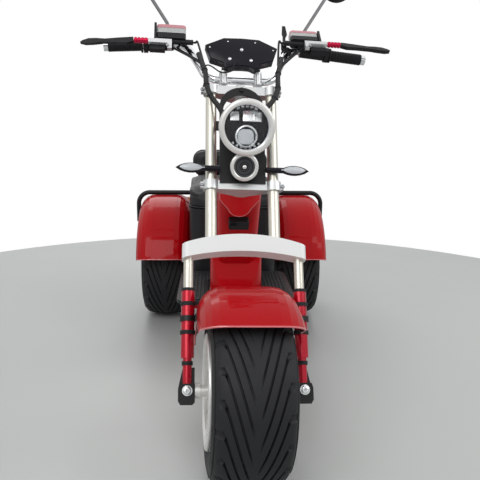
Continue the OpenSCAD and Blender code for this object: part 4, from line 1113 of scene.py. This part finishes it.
class SCOOTER_OT_controls(bpy.types.Operator):
    """Cap screws, lever pivots and paddle switch"""

    bl_idname = "scooter.controls"
    bl_label = "Hand controls"

    # The paddle's ring on the bar, its distance below the bar's knee, and its blade
    PADDLE_RING = (
        (11.3, -9), (15, -9), (16, -7.5), (16, 7.5), (15, 9), (11.3, 9), (11.3, -9),
    )
    PADDLE_BELOW = 16
    PADDLE_BLADE = (
        (-4, 10), (5, 10), (5, 34), (10, 45), (9, 53), (4, 76), (-6, 76), (-7, 48), (-4, 38),
    )

    def execute(self, context):
        steel = bmesh.new()
        for side in (-1, 1):
            low, high = node_corners("reservoir_caps", FORK, side)
            tilt = turn(0 if side < 0 else CONTROL_TILT, "X")
            for share in (0.16, 0.84):
                x = low.x + share * (high.x - low.x)
                point = FORK @ shift(x, (low.y + high.y) / 2, high.z - 2.5)
                dome_screw(steel, 6, 2.6, point @ tilt @ shift(0, 0, 1.2), 14)
            low, high = node_corners("lever_brackets", FORK, side)
            inner = low.x if side > 0 else high.x
            hex_bolt(steel, 8, 4, ahead_of((inner + side * 12, low.y - 0.2, low.z + 9)))
        add_piece("control_screws", steel, "steering", "ground steel")
        paddle = bmesh.new()
        root = BAR_KNEE - self.PADDLE_BELOW * KNEE_WAY
        spin(paddle, self.PADDLE_RING, along(FORK, root, KNEE_WAY), 28)
        blade = ahead_of(root + Vector((-11, -12, 8)))
        plate(paddle, rounded_outline(17, 24, 4), 10, 2, blade @ shift(0, 3, -2))
        plate(paddle, self.PADDLE_BLADE, 7, 2.5, blade @ turn(-2, "Z"))
        add_piece("paddle_switch", paddle, "steering", "abs")
        return {"FINISHED"}


class SCOOTER_OT_leads(bpy.types.Operator):
    """Leads of each hand control, drawn into a braided sleeve with ties, and the panel's wire"""

    bl_idname = "scooter.leads"
    bl_label = "Leads"

    TIE = ((7.2, -2.6), (8.8, -2.6), (9.2, 0), (8.8, 2.6), (7.2, 2.6), (7.2, -2.6))
    # Places along the sleeve, of 50: where leads enter and end, the panel's wire, and the ties
    ENTRY, INSIDE, WIRE_ENTRY = 6, 12, 8
    TIES_AT = (9, 19, 28)

    def execute(self, context):
        leads, sleeves, ties = bmesh.new(), bmesh.new(), bmesh.new()
        for side in (-1, 1):
            bundle = smooth_path([other_side(Vector(p), side) for p in BUNDLE], 10)
            sweep(sleeves, bundle, SLEEVE_R, FORK, 16)
            for i, (start, away) in enumerate(LEAD_STARTS):
                start, away = Vector(start), Vector(away)
                spread = Vector((4 * (1 - i) * side, 0, 0))
                route = [on_control(start + away * share, side) for share in (0, 0.5, 1)]
                route += [bundle[self.ENTRY] + spread, bundle[self.INSIDE] + 0.5 * spread]
                sweep(leads, smooth_path(route, 10), LEAD_R, FORK, 10)
            if side < 0:
                face = node_corners("instrument_panel", FORK)[0].y
                wire = [Vector((x, face + y, PANEL_LOW + z)) for x, y, z in PANEL_WIRE]
                wire.append(bundle[self.WIRE_ENTRY])
                sweep(leads, smooth_path(wire, 8), WIRE_R, FORK, 8)
            for at in self.TIES_AT:
                way = (bundle[at + 1] - bundle[at - 1]).normalized()
                place = along(FORK, bundle[at], way)
                spin(ties, self.TIE, place, 28)
                plate(ties, rounded_outline(5, 6, 1.5, 2), 5, 1, place @ shift(0, -9.6, -2.5))
        add_piece("leads", leads, "steering", "soft rubber", ["cables"])
        add_piece("lead_sleeves", sleeves, "steering", "sleeve")
        add_piece("lead_ties", ties, "steering", "abs")
        return {"FINISHED"}


class SCOOTER_OT_fender_edges(bpy.types.Operator):
    """Rolled beads along the edges of the three fenders and the neck's shield"""

    bl_idname = "scooter.fender_edges"
    bl_label = "Fender edges"

    BEAD_R = 2.2
    SHIELD_BEAD_R = 1.8
    # Half of the sheet's thickness, and the radius of the fenders' corners
    HALF_SHEET = 1.5
    CORNER = 64.5
    # Angles at which the fenders begin and end, from the front up over the wheel
    FRONT_SPAN = (28, 162)
    REAR_SPAN = (17, 163)

    def half_profile(self, radius, width, skirt):
        """Half of a cross-section as radius and side distance, from the crown to the skirt."""
        corner = self.CORNER
        low, half = radius - self.HALF_SHEET - corner, width / 2 - self.HALF_SHEET
        points = [(radius - self.HALF_SHEET, 0), (radius - self.HALF_SHEET, half - corner)]
        for i in range(1, 9):
            a = math.radians(90 * i / 8)
            points.append((low + corner * math.cos(a), half - corner + corner * math.sin(a)))
        return points + [(skirt, half)]

    def loop(self, half_points, start, end, middle):
        """The closed line of a fender's edge; start gives the lip's angle at a radius."""
        skirt, side = half_points[-1]
        first = start(skirt)
        turned = [(skirt, first + (end - first) * i / 48, side) for i in range(48)]
        right = turned + [(r, end, y) for r, y in reversed(half_points)]
        left = [(r, a, -y) for r, a, y in reversed(right)]
        front = [(r, start(r), y) for r, y in half_points]
        front_left = [(r, a, -y) for r, a, y in reversed(front[1:-1])]
        line = []
        for r, a, y in front[:-1] + right[:-1] + left[1:] + front_left:
            a = math.radians(a)
            line.append((
                y + middle[0], middle[1] - r * math.cos(a), middle[2] + r * math.sin(a)
            ))
        return line

    def front_lip(self, radius):
        """The angle of the front fender's slanted lip at a radius."""
        cut = min(1.0, 0.5 * FENDER_FRONT_R / radius)
        return self.FRONT_SPAN[0] + math.degrees(math.asin(cut))

    def rear_lip(self, radius):
        """The angle of a rear fender's lip, the same at each radius."""
        return self.REAR_SPAN[0]

    def execute(self, context):
        # The beads are pale pink: a painted highlight along the edges of the fenders and the shield
        front = bmesh.new()
        profile = self.half_profile(FENDER_FRONT_R, FENDER_FRONT_W, TYRE_R - 56)
        line = self.loop(profile, self.front_lip, self.FRONT_SPAN[1], (0, 0, 0))
        sweep(front, line, self.BEAD_R, LEVEL, 8, closed=True)
        add_piece("front_fender_bead", front, "steering", "painted highlight edge")
        profile = self.half_profile(FENDER_REAR_R, FENDER_REAR_W, TYRE_R + 6)
        for side, name in ((1, "left"), (-1, "right")):
            rear = bmesh.new()
            middle = (side * REAR_X, REAR_Y, TYRE_R)
            line = self.loop(profile, self.rear_lip, self.REAR_SPAN[1], middle)
            sweep(rear, line, self.BEAD_R, ROW, 8, closed=True)
            add_piece(f"rear_fender_bead_{name}", rear, "frame", "painted highlight edge")
        shield = bmesh.new()
        neck = ROW @ shift(*NECK_TOP) @ turn(NECK_TILT, "X")
        sweep(shield, self.shield_edge(), self.SHIELD_BEAD_R, neck, 8)
        add_piece("neck_shield_bead", shield, "frame", "painted highlight edge")
        return {"FINISHED"}

    def shield_edge(self):
        """The shield's sides and round tip, on its curved face."""
        low, tip, half, curve, rise = -136, 34, 59, 110, 18
        side = [(half, 98), (half, 86), (half, 72), (half, 58)]
        side += [(half - 25.9 * i / 6, 58 - 31.8 * i / 6) for i in range(1, 6)]
        arc = [math.radians(-13.3 - 153.4 * i / 24) for i in range(25)]
        round_tip = [(tip * math.cos(a), tip + tip * math.sin(a)) for a in arc]
        line = side + round_tip + [(-x, y) for x, y in reversed(side)]
        return [(x, low + y, rise - curve + math.sqrt(curve ** 2 - x * x) - 0.6) for x, y in line]


class SCOOTER_OT_springs(bpy.types.Operator):
    """Coil springs on their dampers at the rear"""

    bl_idname = "scooter.springs"
    bl_label = "Rear springs"

    TURNS = 7
    STEPS = 24
    COIL_R = 21.5
    WIRE_R = 4
    # Where the coil begins above the foot, and how much of the height it leaves free
    COIL_FOOT = 29
    COIL_FREE = 65

    def execute(self, context):
        coils, dampers = bmesh.new(), bmesh.new()
        for side in (-1, 1):
            low, high = node_corners("rear_shocks", ROW, side)
            base = ROW @ shift(*((low + high) / 2).xy, low.z)
            tall = high.z - low.z
            spin(dampers, [
                (0, 0), (19, 0), (19, 20), (26, 21), (26, 26), (17, 27), (15.5, 30),
                (15.5, 0.45 * tall), (9, 0.46 * tall), (9, tall - 34), (25, tall - 33),
                (26, tall - 28), (22, tall - 25), (16, tall - 18), (16, tall - 4), (14, tall),
                (0, tall),
            ], base, 32)
            sweep(coils, self.coil(tall - self.COIL_FREE), self.WIRE_R, base, 8)
        add_piece("spring_coils", coils, "frame", "red enamel")
        add_piece("spring_dampers", dampers, "frame", "iron grey", ["rear_shocks"])
        return {"FINISHED"}

    def coil(self, rise):
        """The line of a coil that rises by the given height."""
        count = self.TURNS * self.STEPS
        path = []
        for i in range(count + 1):
            a = 2 * math.pi * i / self.STEPS
            height = self.COIL_FOOT + rise * i / count
            path.append((self.COIL_R * math.cos(a), self.COIL_R * math.sin(a), height))
        return path


class SCOOTER_OT_wheel_trim(bpy.types.Operator):
    """Rim flanges, hub caps, wheel nuts and valve stems"""

    bl_idname = "scooter.wheel_trim"
    bl_label = "Wheel trim"

    # The nuts: how many, the radius of their ring, and how far they are from the middle plane
    NUTS = 5
    NUT_RING = 48
    NUT_OUT = 50
    VALVE = ((0, 0), (4, 0), (4, 14), (5, 15), (5, 24), (3.6, 26), (0, 26))
    VALVE_AT = (112, 0, 62)
    VALVE_TURN = 20

    def execute(self, context):
        front = JOINTS["front_wheel_spin"]
        self.roll_flanges("front", front, JOINTS["steer"]["axis"], "front_wheel")
        for side, sign in (("left", 1), ("right", -1)):
            joint = JOINTS[f"rear_wheel_{side}_spin"]
            self.roll_flanges(f"rear_{side}", joint, (0, 0, 1), f"rear_wheel_{side}")
            low, high = (Vector(p) * 1000 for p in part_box(f"rear_rim_{side}"))
            out = (high.x if sign > 0 else -low.x) - REAR_X
            place = ROW @ shift(sign * REAR_X, REAR_Y, TYRE_R) @ turn(90 * sign, "Y")
            metal = bmesh.new()
            spin(metal, [
                (0, out - 14), (30, out - 14), (30, out - 9), (24, out - 6), (0, out - 5.5)
            ], place, 40)
            for i in range(self.NUTS):
                a = math.radians(360 / self.NUTS * i + 180 / self.NUTS)
                nut = (self.NUT_RING * math.cos(a), self.NUT_RING * math.sin(a), self.NUT_OUT)
                hex_bolt(metal, 17, 13, place @ shift(*nut))
            valve = place @ turn(self.VALVE_TURN, "Z") @ shift(*self.VALVE_AT)
            spin(metal, self.VALVE, valve, 16)
            add_piece(f"rear_wheel_trim_{side}", metal, f"rear_wheel_{side}", "chrome")
            if joint["axis"][0] < 0:
                raise RuntimeError("rear wheel axis turned round")
        return {"FINISHED"}

    def roll_flanges(self, name, joint, up, body):
        """The rolled edges of one rim, which stand out a little past the tyre's walls."""
        edge, lip = TYRE_R * RIM_SHARE, RIM_W / 2
        inner = edge - LIP
        outline = [
            (inner, lip - 0.5), (inner, lip + 5), (inner + 3, lip + 9), (inner + 7, lip + 11),
            (edge - 4, lip + 10.5), (edge - 0.5, lip + 8), (edge + 0.5, lip + 4),
            (edge - 1, lip - 0.5), (inner, lip - 0.5),
        ]
        metal = bmesh.new()
        wheel = wheel_axes(joint["axis"], up, joint["pos_m"])
        for sign in (-1, 1):
            spin(metal, outline, wheel @ turn(90 * sign, "Y"), 96)
        add_piece(f"rim_flanges_{name}", metal, body, "aluminium with painted reflection")


class SCOOTER_OT_deck_ribs(bpy.types.Operator):
    """Rounded ribs on the foot mat"""

    bl_idname = "scooter.deck_ribs"
    bl_label = "Deck ribs"

    RIBS = 7
    FIRST_X = 98
    STEP_X = 12.5
    # Ends of the ribs from the mat's ends; the outer ones start later, along the round corner
    FRONT_GAP = 12
    REAR_GAP = 14
    OUTER_STEP = 7

    def execute(self, context):
        low, high = node_corners("deck_mat", ROW)
        end = high.y - self.REAR_GAP
        ribs = bmesh.new()
        for side in (-1, 1):
            for i in range(self.RIBS):
                x = side * (self.FIRST_X + self.STEP_X * i)
                start = low.y + self.FRONT_GAP + max(0, i - 4) * self.OUTER_STEP
                place = ROW @ shift(x, (end + start) / 2, high.z - 0.3)
                plate(ribs, rounded_outline(5, end - start, 2.4, 3), 2.4, 1.0, place)
        add_piece("deck_ribs", ribs, "frame", "soft rubber")
        return {"FINISHED"}


class SCOOTER_OT_rear_trim(bpy.types.Operator):
    """Tail lens ribs, plate bolts, seat box lock and backrest bolts"""

    bl_idname = "scooter.rear_trim"
    bl_label = "Rear trim"

    LENS_RIBS = 15
    PLATE_HOLES_X = (-60, 60)
    LOCK = ((0, -2), (15, -2), (15, 2), (13.5, 3.4), (9, 3.6), (8.4, 2.6), (0, 2.6))
    LOCK_BELOW = 46
    POST_BOLTS_BELOW = (22, 70)

    def execute(self, context):
        lens, metal = bmesh.new(), bmesh.new()
        low, high = node_corners("tail_lenses", ROW)
        wide, tall = high.x - low.x, high.z - low.z
        face = self.behind(0, high.y - 1.5, (low.z + high.z) / 2)
        for i in range(self.LENS_RIBS):
            x = (i - self.LENS_RIBS // 2) * (wide - 30) / self.LENS_RIBS
            rib = rounded_outline(11, tall - 14, 3, 3)
            plate(lens, rib, 2.4, 1.2, face @ shift(x, 0, -1.2), 3)
        add_piece("tail_lens_ribs", lens, "frame", "red lens")
        _, high = node_corners("plate_bracket", ROW)
        for x in self.PLATE_HOLES_X:
            hex_bolt(metal, 10, 5, self.behind(x, high.y, PLATE_HOLES_Z))
        low, high = node_corners("seat_box", ROW)
        lock = ROW @ shift(0, low.y, high.z - self.LOCK_BELOW) @ turn(90, "X")
        spin(metal, self.LOCK, lock, 36)
        plate(metal, rounded_outline(2, 9, 0.9, 2), 1.2, 0.3, lock @ shift(0, 0, 2.2))
        _, top = node_corners("backrest_posts", ROW)
        for side in (-1, 1):
            low, high = node_corners("backrest_posts", ROW, side)
            for below in self.POST_BOLTS_BELOW:
                bolt = self.behind((low.x + high.x) / 2, top.y, top.z - below)
                dome_screw(metal, 13, 5, bolt, 20)
        add_piece("rear_fittings", metal, "frame", "ground steel")
        return {"FINISHED"}

    def behind(self, x, y, z):
        """A frame with +Z toward the back."""
        return ROW @ shift(x, y, z) @ turn(-90, "X")


def cushion_copy(node, inset, voxel):
    """A finely meshed copy of a solid, drawn in from its outside."""
    data = NODES[node].data.copy()
    piece = bpy.data.objects.new(f"{node}_cover", data)
    bpy.context.scene.collection.objects.link(piece)
    low, high = (Vector(p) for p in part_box(node))
    middle, half = (low + high) / 2, (high - low) / 2
    shrink = [1 - inset / each for each in half]
    for vertex in data.vertices:
        vertex.co = middle + Vector([(vertex.co[i] - middle[i]) * shrink[i] for i in range(3)])
    remesh = piece.modifiers.new("even mesh", "REMESH")
    remesh.mode = "VOXEL"
    remesh.voxel_size = voxel
    apply_modifiers(piece)
    return piece


def apply_modifiers(piece):
    """Replace a piece's mesh by its mesh with modifiers."""
    graph = bpy.context.evaluated_depsgraph_get()
    graph.update()
    made = bpy.data.meshes.new_from_object(piece.evaluated_get(graph))
    piece.modifiers.clear()
    old = piece.data
    piece.data = made
    bpy.data.meshes.remove(old)


# Share of an inward move that the glue lets through
GLUED = 0.15
# Frames of the cloth run, and how stiff the vinyl is
CLOTH_FRAMES = 20
VINYL_STIFFNESS = 15


def inflate(piece, cap, pressure):
    """Swell a cover by a cloth simulation, with a cap on how far a point may move.

    The cover is glued to the foam, so a point that would draw inward gives only a little.
    """
    start = [(v.co.copy(), v.normal.copy()) for v in piece.data.vertices]
    cloth = piece.modifiers.new("padding", "CLOTH")
    cloth.settings.use_pressure = True
    cloth.settings.uniform_pressure_force = pressure
    cloth.settings.effector_weights.gravity = 0
    cloth.settings.tension_stiffness = VINYL_STIFFNESS
    cloth.settings.compression_stiffness = VINYL_STIFFNESS
    cloth.settings.quality = 5
    scene = bpy.context.scene
    for step in range(1, CLOTH_FRAMES + 1):
        scene.frame_set(step)
    apply_modifiers(piece)
    scene.frame_set(1)
    for vertex, (old, outward) in zip(piece.data.vertices, start):
        move = vertex.co - old
        if move.dot(outward) < 0:
            move *= GLUED
            vertex.co = old + move
        if move.length > cap:
            vertex.co = old + move * (cap / move.length)


def subdivide(piece):
    """Add one subdivision to a piece."""
    smoother = piece.modifiers.new("subdivision", "SUBSURF")
    smoother.levels = 1
    smoother.render_levels = 1
    apply_modifiers(piece)


def press_groove(piece, distance, depth, width):
    """Press a sewn channel into a cover where distance(point) is small."""
    for vertex in piece.data.vertices:
        gap = distance(vertex.co)
        if gap < 2 * width:
            vertex.co -= vertex.normal * depth * math.exp(-((gap / width) ** 2))


class SCOOTER_OT_cushions(bpy.types.Operator):
    """Padded seat and backrest in grained vinyl, with sewn channels and piping"""

    bl_idname = "scooter.cushions"
    bl_label = "Seat and backrest"

    # Sewn channels as shares of the length: the first, the step, and how many
    SEAT_CHANNELS = (0.2, 0.15, 5)
    BACK_CHANNELS = (0.2, 0.2, 4)
    # Height above which the seat's channels show, and half their width, as shares of its size
    SEAT_WAIST = 0.62
    SEAT_CHANNEL_HALF = 0.36
    # The seat's channels bow ahead by this much in metres, and this steeply
    BOW = 0.02
    BOW_RATE = 9
    # In metres: the backrest's channels stop before its edge, its cover ends before its board
    # and swells ahead of the solid
    BACK_MARGIN = 0.03
    BACK_GAP = 0.001
    BACK_SWELL = 0.006
    # Side seams below the seat's waist and behind the backrest's middle, in metres
    SEAT_SEAM = 0.012
    BACK_SEAM = 0.006
    # A distance to a channel, in metres, that leaves the cover as it is
    FAR = 1.0
    # In millimetres: how far the piping lies inside the solid's width, and its corners
    PIPING_INSET = 7
    SEAT_CORNER = 76
    BACK_CORNER = 43

    def execute(self, context):
        sizes = settings().cushions
        width, depth = sizes.seam_width * MM, sizes.seam * MM
        for node in ("seat", "backrest"):
            piece = cushion_copy(node, sizes.inset * MM, sizes.voxel * MM)
            low, high = (Vector(p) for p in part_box(node))
            inflate(piece, sizes.swell * MM, sizes.pressure)
            subdivide(piece)
            sew = self.sew_seat if node == "seat" else self.sew_backrest
            sew(piece, low, high, depth, width)
            for vertex in piece.data.vertices:
                # Flat where it rests on the box, and nowhere outside its own solid by much
                if node == "seat":
                    vertex.co.z = max(vertex.co.z, low.z)
                else:
                    vertex.co.y = min(vertex.co.y, high.y - self.BACK_GAP)
                    vertex.co.y = max(vertex.co.y, low.y - self.BACK_SWELL)
            for face in piece.data.polygons:
                face.use_smooth = True
            piece.data.materials.clear()
            piece.data.materials.append(FINISHES["vinyl"])
            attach(piece, "frame")
            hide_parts(node)
            self.add_piping(node, low, high, sizes.piping)
        return {"FINISHED"}

    def spaced(self, low, high, first, step, count):
        """Places between two ends, given as shares of the distance."""
        return [low + (high - low) * (first + step * i) for i in range(count)]

    def sew_seat(self, piece, low, high, depth, width):
        """Cross channels on the sitting area, and one seam round the side."""
        rows = self.spaced(low.y, high.y, *self.SEAT_CHANNELS)
        waist = low.z + self.SEAT_WAIST * (high.z - low.z)

        def channel(p):
            if p.z < waist or abs(p.x) > self.SEAT_CHANNEL_HALF * (high.x - low.x):
                return self.FAR
            bow = self.BOW * math.cos(p.x * self.BOW_RATE)
            return min(abs(p.y - y + bow) for y in rows)

        press_groove(piece, channel, depth, width)
        self.sew_side(piece, lambda p: abs(p.z - waist + self.SEAT_SEAM), depth, width)

    def sew_backrest(self, piece, low, high, depth, width):
        """Upright channels on the front, and one seam round the side."""
        middle, half = (low + high) / 2, (high - low) / 2
        columns = self.spaced(low.x, high.x, *self.BACK_CHANNELS)

        def channel(p):
            if p.y > middle.y or abs(p.z - middle.z) > half.z - self.BACK_MARGIN:
                return self.FAR
            return min(abs(p.x - x) for x in columns)

        press_groove(piece, channel, depth, width)
        self.sew_side(piece, lambda p: abs(p.y - middle.y - self.BACK_SEAM), depth, width)

    def sew_side(self, piece, distance, depth, width):
        """A finer seam round a cushion's side."""
        press_groove(piece, distance, 0.6 * depth, 0.8 * width)

    def add_piping(self, node, low, high, radius):
        """A round cord of vinyl sewn into the edge seam."""
        low, high = low * 1000, high * 1000
        middle, size = (low + high) / 2, high - low
        wide = size.x - self.PIPING_INSET
        mesh = bmesh.new()
        if node == "seat":
            loop = rounded_outline(wide, size.y - self.PIPING_INSET, self.SEAT_CORNER, 10)
            points = [(middle.x + x, middle.y + y, low.z + 5) for x, y in loop]
        else:
            loop = rounded_outline(wide, size.z - self.PIPING_INSET, self.BACK_CORNER, 10)
            points = [(middle.x + x, high.y - 8, middle.z + z) for x, z in loop]
        sweep(mesh, points, radius, ROW, 8, closed=True)
        add_piece(f"{node}_piping", mesh, "frame", "vinyl")


class SCOOTER_OT_stage(bpy.types.Operator):
    """Camera, pale floor and soft studio light"""

    bl_idname = "scooter.stage"
    bl_label = "Stage"

    # Each lamp: name, place, size, and its share of the power
    SOFTBOXES = (
        ("softbox_ahead", (-1.6, -3.4, 3.4), 2.6, 1.0),
        ("softbox_side", (2.8, -1.2, 2.6), 2.0, 0.45),
        ("softbox_behind", (-0.8, 2.8, 3.0), 2.2, 0.5),
    )
    # The point that the lamps aim at
    AIM = (0, 0, 0.6)
    # The floor lies this far below the tyres, so that no two faces meet in one plane
    FLOOR_DROP = 0.0005

    def execute(self, context):
        stage = settings().stage
        scene = context.scene
        scene.view_settings.view_transform = "Standard"
        camera = bpy.data.objects.new("camera", bpy.data.cameras.new("camera"))
        scene.collection.objects.link(camera)
        camera.data.sensor_width = 36
        camera.data.lens = stage.lens
        aim = (
            Matrix.Rotation(-stage.yaw, 4, "Z")
            @ Matrix.Rotation(math.pi / 2 - stage.pitch, 4, "X")
            @ Matrix.Rotation(stage.roll, 4, "Z")
        )
        camera.matrix_world = Matrix.Translation(Vector(stage.place)) @ aim
        scene.camera = camera
        self.lay_floor(stage)
        self.light_world(scene, stage)
        for name, place, size, share in self.SOFTBOXES:
            self.hang_softbox(name, place, size, share * stage.softbox)
        return {"FINISHED"}

    def lay_floor(self, stage):
        """A round floor with a soft gloss."""
        mesh = bmesh.new()
        bmesh.ops.create_circle(mesh, cap_ends=True, segments=96, radius=stage.floor_radius)
        data = bpy.data.meshes.new("floor")
        mesh.to_mesh(data)
        mesh.free()
        floor = bpy.data.objects.new("floor", data)
        floor.location.z = -self.FLOOR_DROP
        bpy.context.scene.collection.objects.link(floor)
        pale = settings().colours.floor
        # Sealed concrete: pale, nearly even, a soft sheen
        data.materials.append(surface(
            "Sealed concrete", pale, tinted(pale, 1.04), 300, (0.34, 0.46), 8, 0.05,
        ))

    def light_world(self, scene, stage):
        """Soft light from all round; the eye and glass see plain white, metal a soft sky."""
        world = bpy.data.worlds.new("studio")
        scene.world = world
        world.use_nodes = True
        tree = world.node_tree
        tree.nodes.clear()
        path = add_node(tree, "ShaderNodeLightPath").outputs
        seen = add_node(
            tree, "ShaderNodeMath", {"operation": "MAXIMUM"},
            {0: path["Is Camera Ray"], 1: path["Is Transmission Ray"]},
        ).outputs[0]
        background = "ShaderNodeBackground"
        daylight = {"Color": (0.96, 0.98, 1, 1), "Strength": stage.daylight}
        light = add_node(tree, background, daylight).outputs[0]
        plain = (1, 1, 1, 1)
        white = add_node(tree, background, {"Color": plain, "Strength": 1.0}).outputs[0]
        # The sky that metal sees is brighter above than at the sides
        place = add_node(tree, "ShaderNodeTexCoord").outputs["Generated"]
        height = add_node(tree, "ShaderNodeSeparateXYZ", None, {"Vector": place}).outputs["Z"]
        glow = add_node(
            tree, "ShaderNodeMapRange",
            {"From Min": -0.3, "From Max": 0.5, "To Min": 0.35, "To Max": 1.0},
            {"Value": height},
        ).outputs["Result"]
        sky = add_node(tree, background, {"Color": plain}, {"Strength": glow}).outputs[0]
        mix = "ShaderNodeMixShader"
        metal = add_node(tree, mix, None, {0: path["Is Glossy Ray"], 1: light, 2: sky}).outputs[0]
        mixed = add_node(tree, mix, None, {0: seen, 1: metal, 2: white})
        add_node(tree, "ShaderNodeOutputWorld", None, {"Surface": mixed.outputs[0]})

    def hang_softbox(self, name, place, size, power):
        """A square lamp aimed at the middle of the scooter."""
        lamp = bpy.data.lights.new(name, "AREA")
        lamp.size = size
        lamp.energy = power
        hung = bpy.data.objects.new(name, lamp)
        bpy.context.scene.collection.objects.link(hung)
        way = Vector(self.AIM) - Vector(place)
        hung.location = place
        hung.rotation_mode = "QUATERNION"
        hung.rotation_quaternion = way.to_track_quat("-Z", "Y")


def group(kind, name, description):
    """One group of the settings."""
    return PointerProperty(type=kind, name=name, description=description)


class ScooterSettings(bpy.types.PropertyGroup):
    """All sizes and colours."""

    colours: group(ScooterColours, "Colours", "Colours of the finishes")
    tread: group(ScooterTread, "Tread", "Tread of the tyres")
    cushions: group(ScooterCushions, "Cushions", "Seat and backrest")
    stage: group(ScooterStage, "Stage", "Camera and light")


PIECES = (
    SCOOTER_OT_stage,
    SCOOTER_OT_finishes,
    SCOOTER_OT_tyres,
    SCOOTER_OT_headlight,
    SCOOTER_OT_horn,
    SCOOTER_OT_grips,
    SCOOTER_OT_fork_bolts,
    SCOOTER_OT_panel,
    SCOOTER_OT_mirrors,
    SCOOTER_OT_controls,
    SCOOTER_OT_leads,
    SCOOTER_OT_fender_edges,
    SCOOTER_OT_springs,
    SCOOTER_OT_wheel_trim,
    SCOOTER_OT_deck_ribs,
    SCOOTER_OT_rear_trim,
    SCOOTER_OT_cushions,
)


class SCOOTER_PT_sidebar(bpy.types.Panel):
    """Lists the pieces in the order in which they are made"""

    bl_idname = "SCOOTER_PT_sidebar"
    bl_label = "Trike Scooter"
    bl_space_type = "VIEW_3D"
    bl_region_type = "UI"
    bl_category = "Scooter"

    def draw(self, context):
        for piece in PIECES:
            self.layout.operator(piece.bl_idname)
        sizes = context.scene.scooter
        for part in (sizes.colours, sizes.tread, sizes.cushions, sizes.stage):
            box = self.layout.box()
            for name in part.__annotations__:
                box.prop(part, name)


CLASSES = (
    ScooterColours, ScooterTread, ScooterCushions, ScooterStage, ScooterSettings,
    *PIECES, SCOOTER_PT_sidebar,
)


def register():
    """Add the classes and the scene's settings."""
    for each in CLASSES:
        bpy.utils.register_class(each)
    bpy.types.Scene.scooter = PointerProperty(type=ScooterSettings)


def unregister():
    """Take them away again."""
    del bpy.types.Scene.scooter
    for each in reversed(CLASSES):
        bpy.utils.unregister_class(each)


def main():
    """Make the pieces in order."""
    register()
    for piece in PIECES:
        family, name = piece.bl_idname.split(".")
        getattr(getattr(bpy.ops, family), name)()


if __name__ == "__main__":
    main()
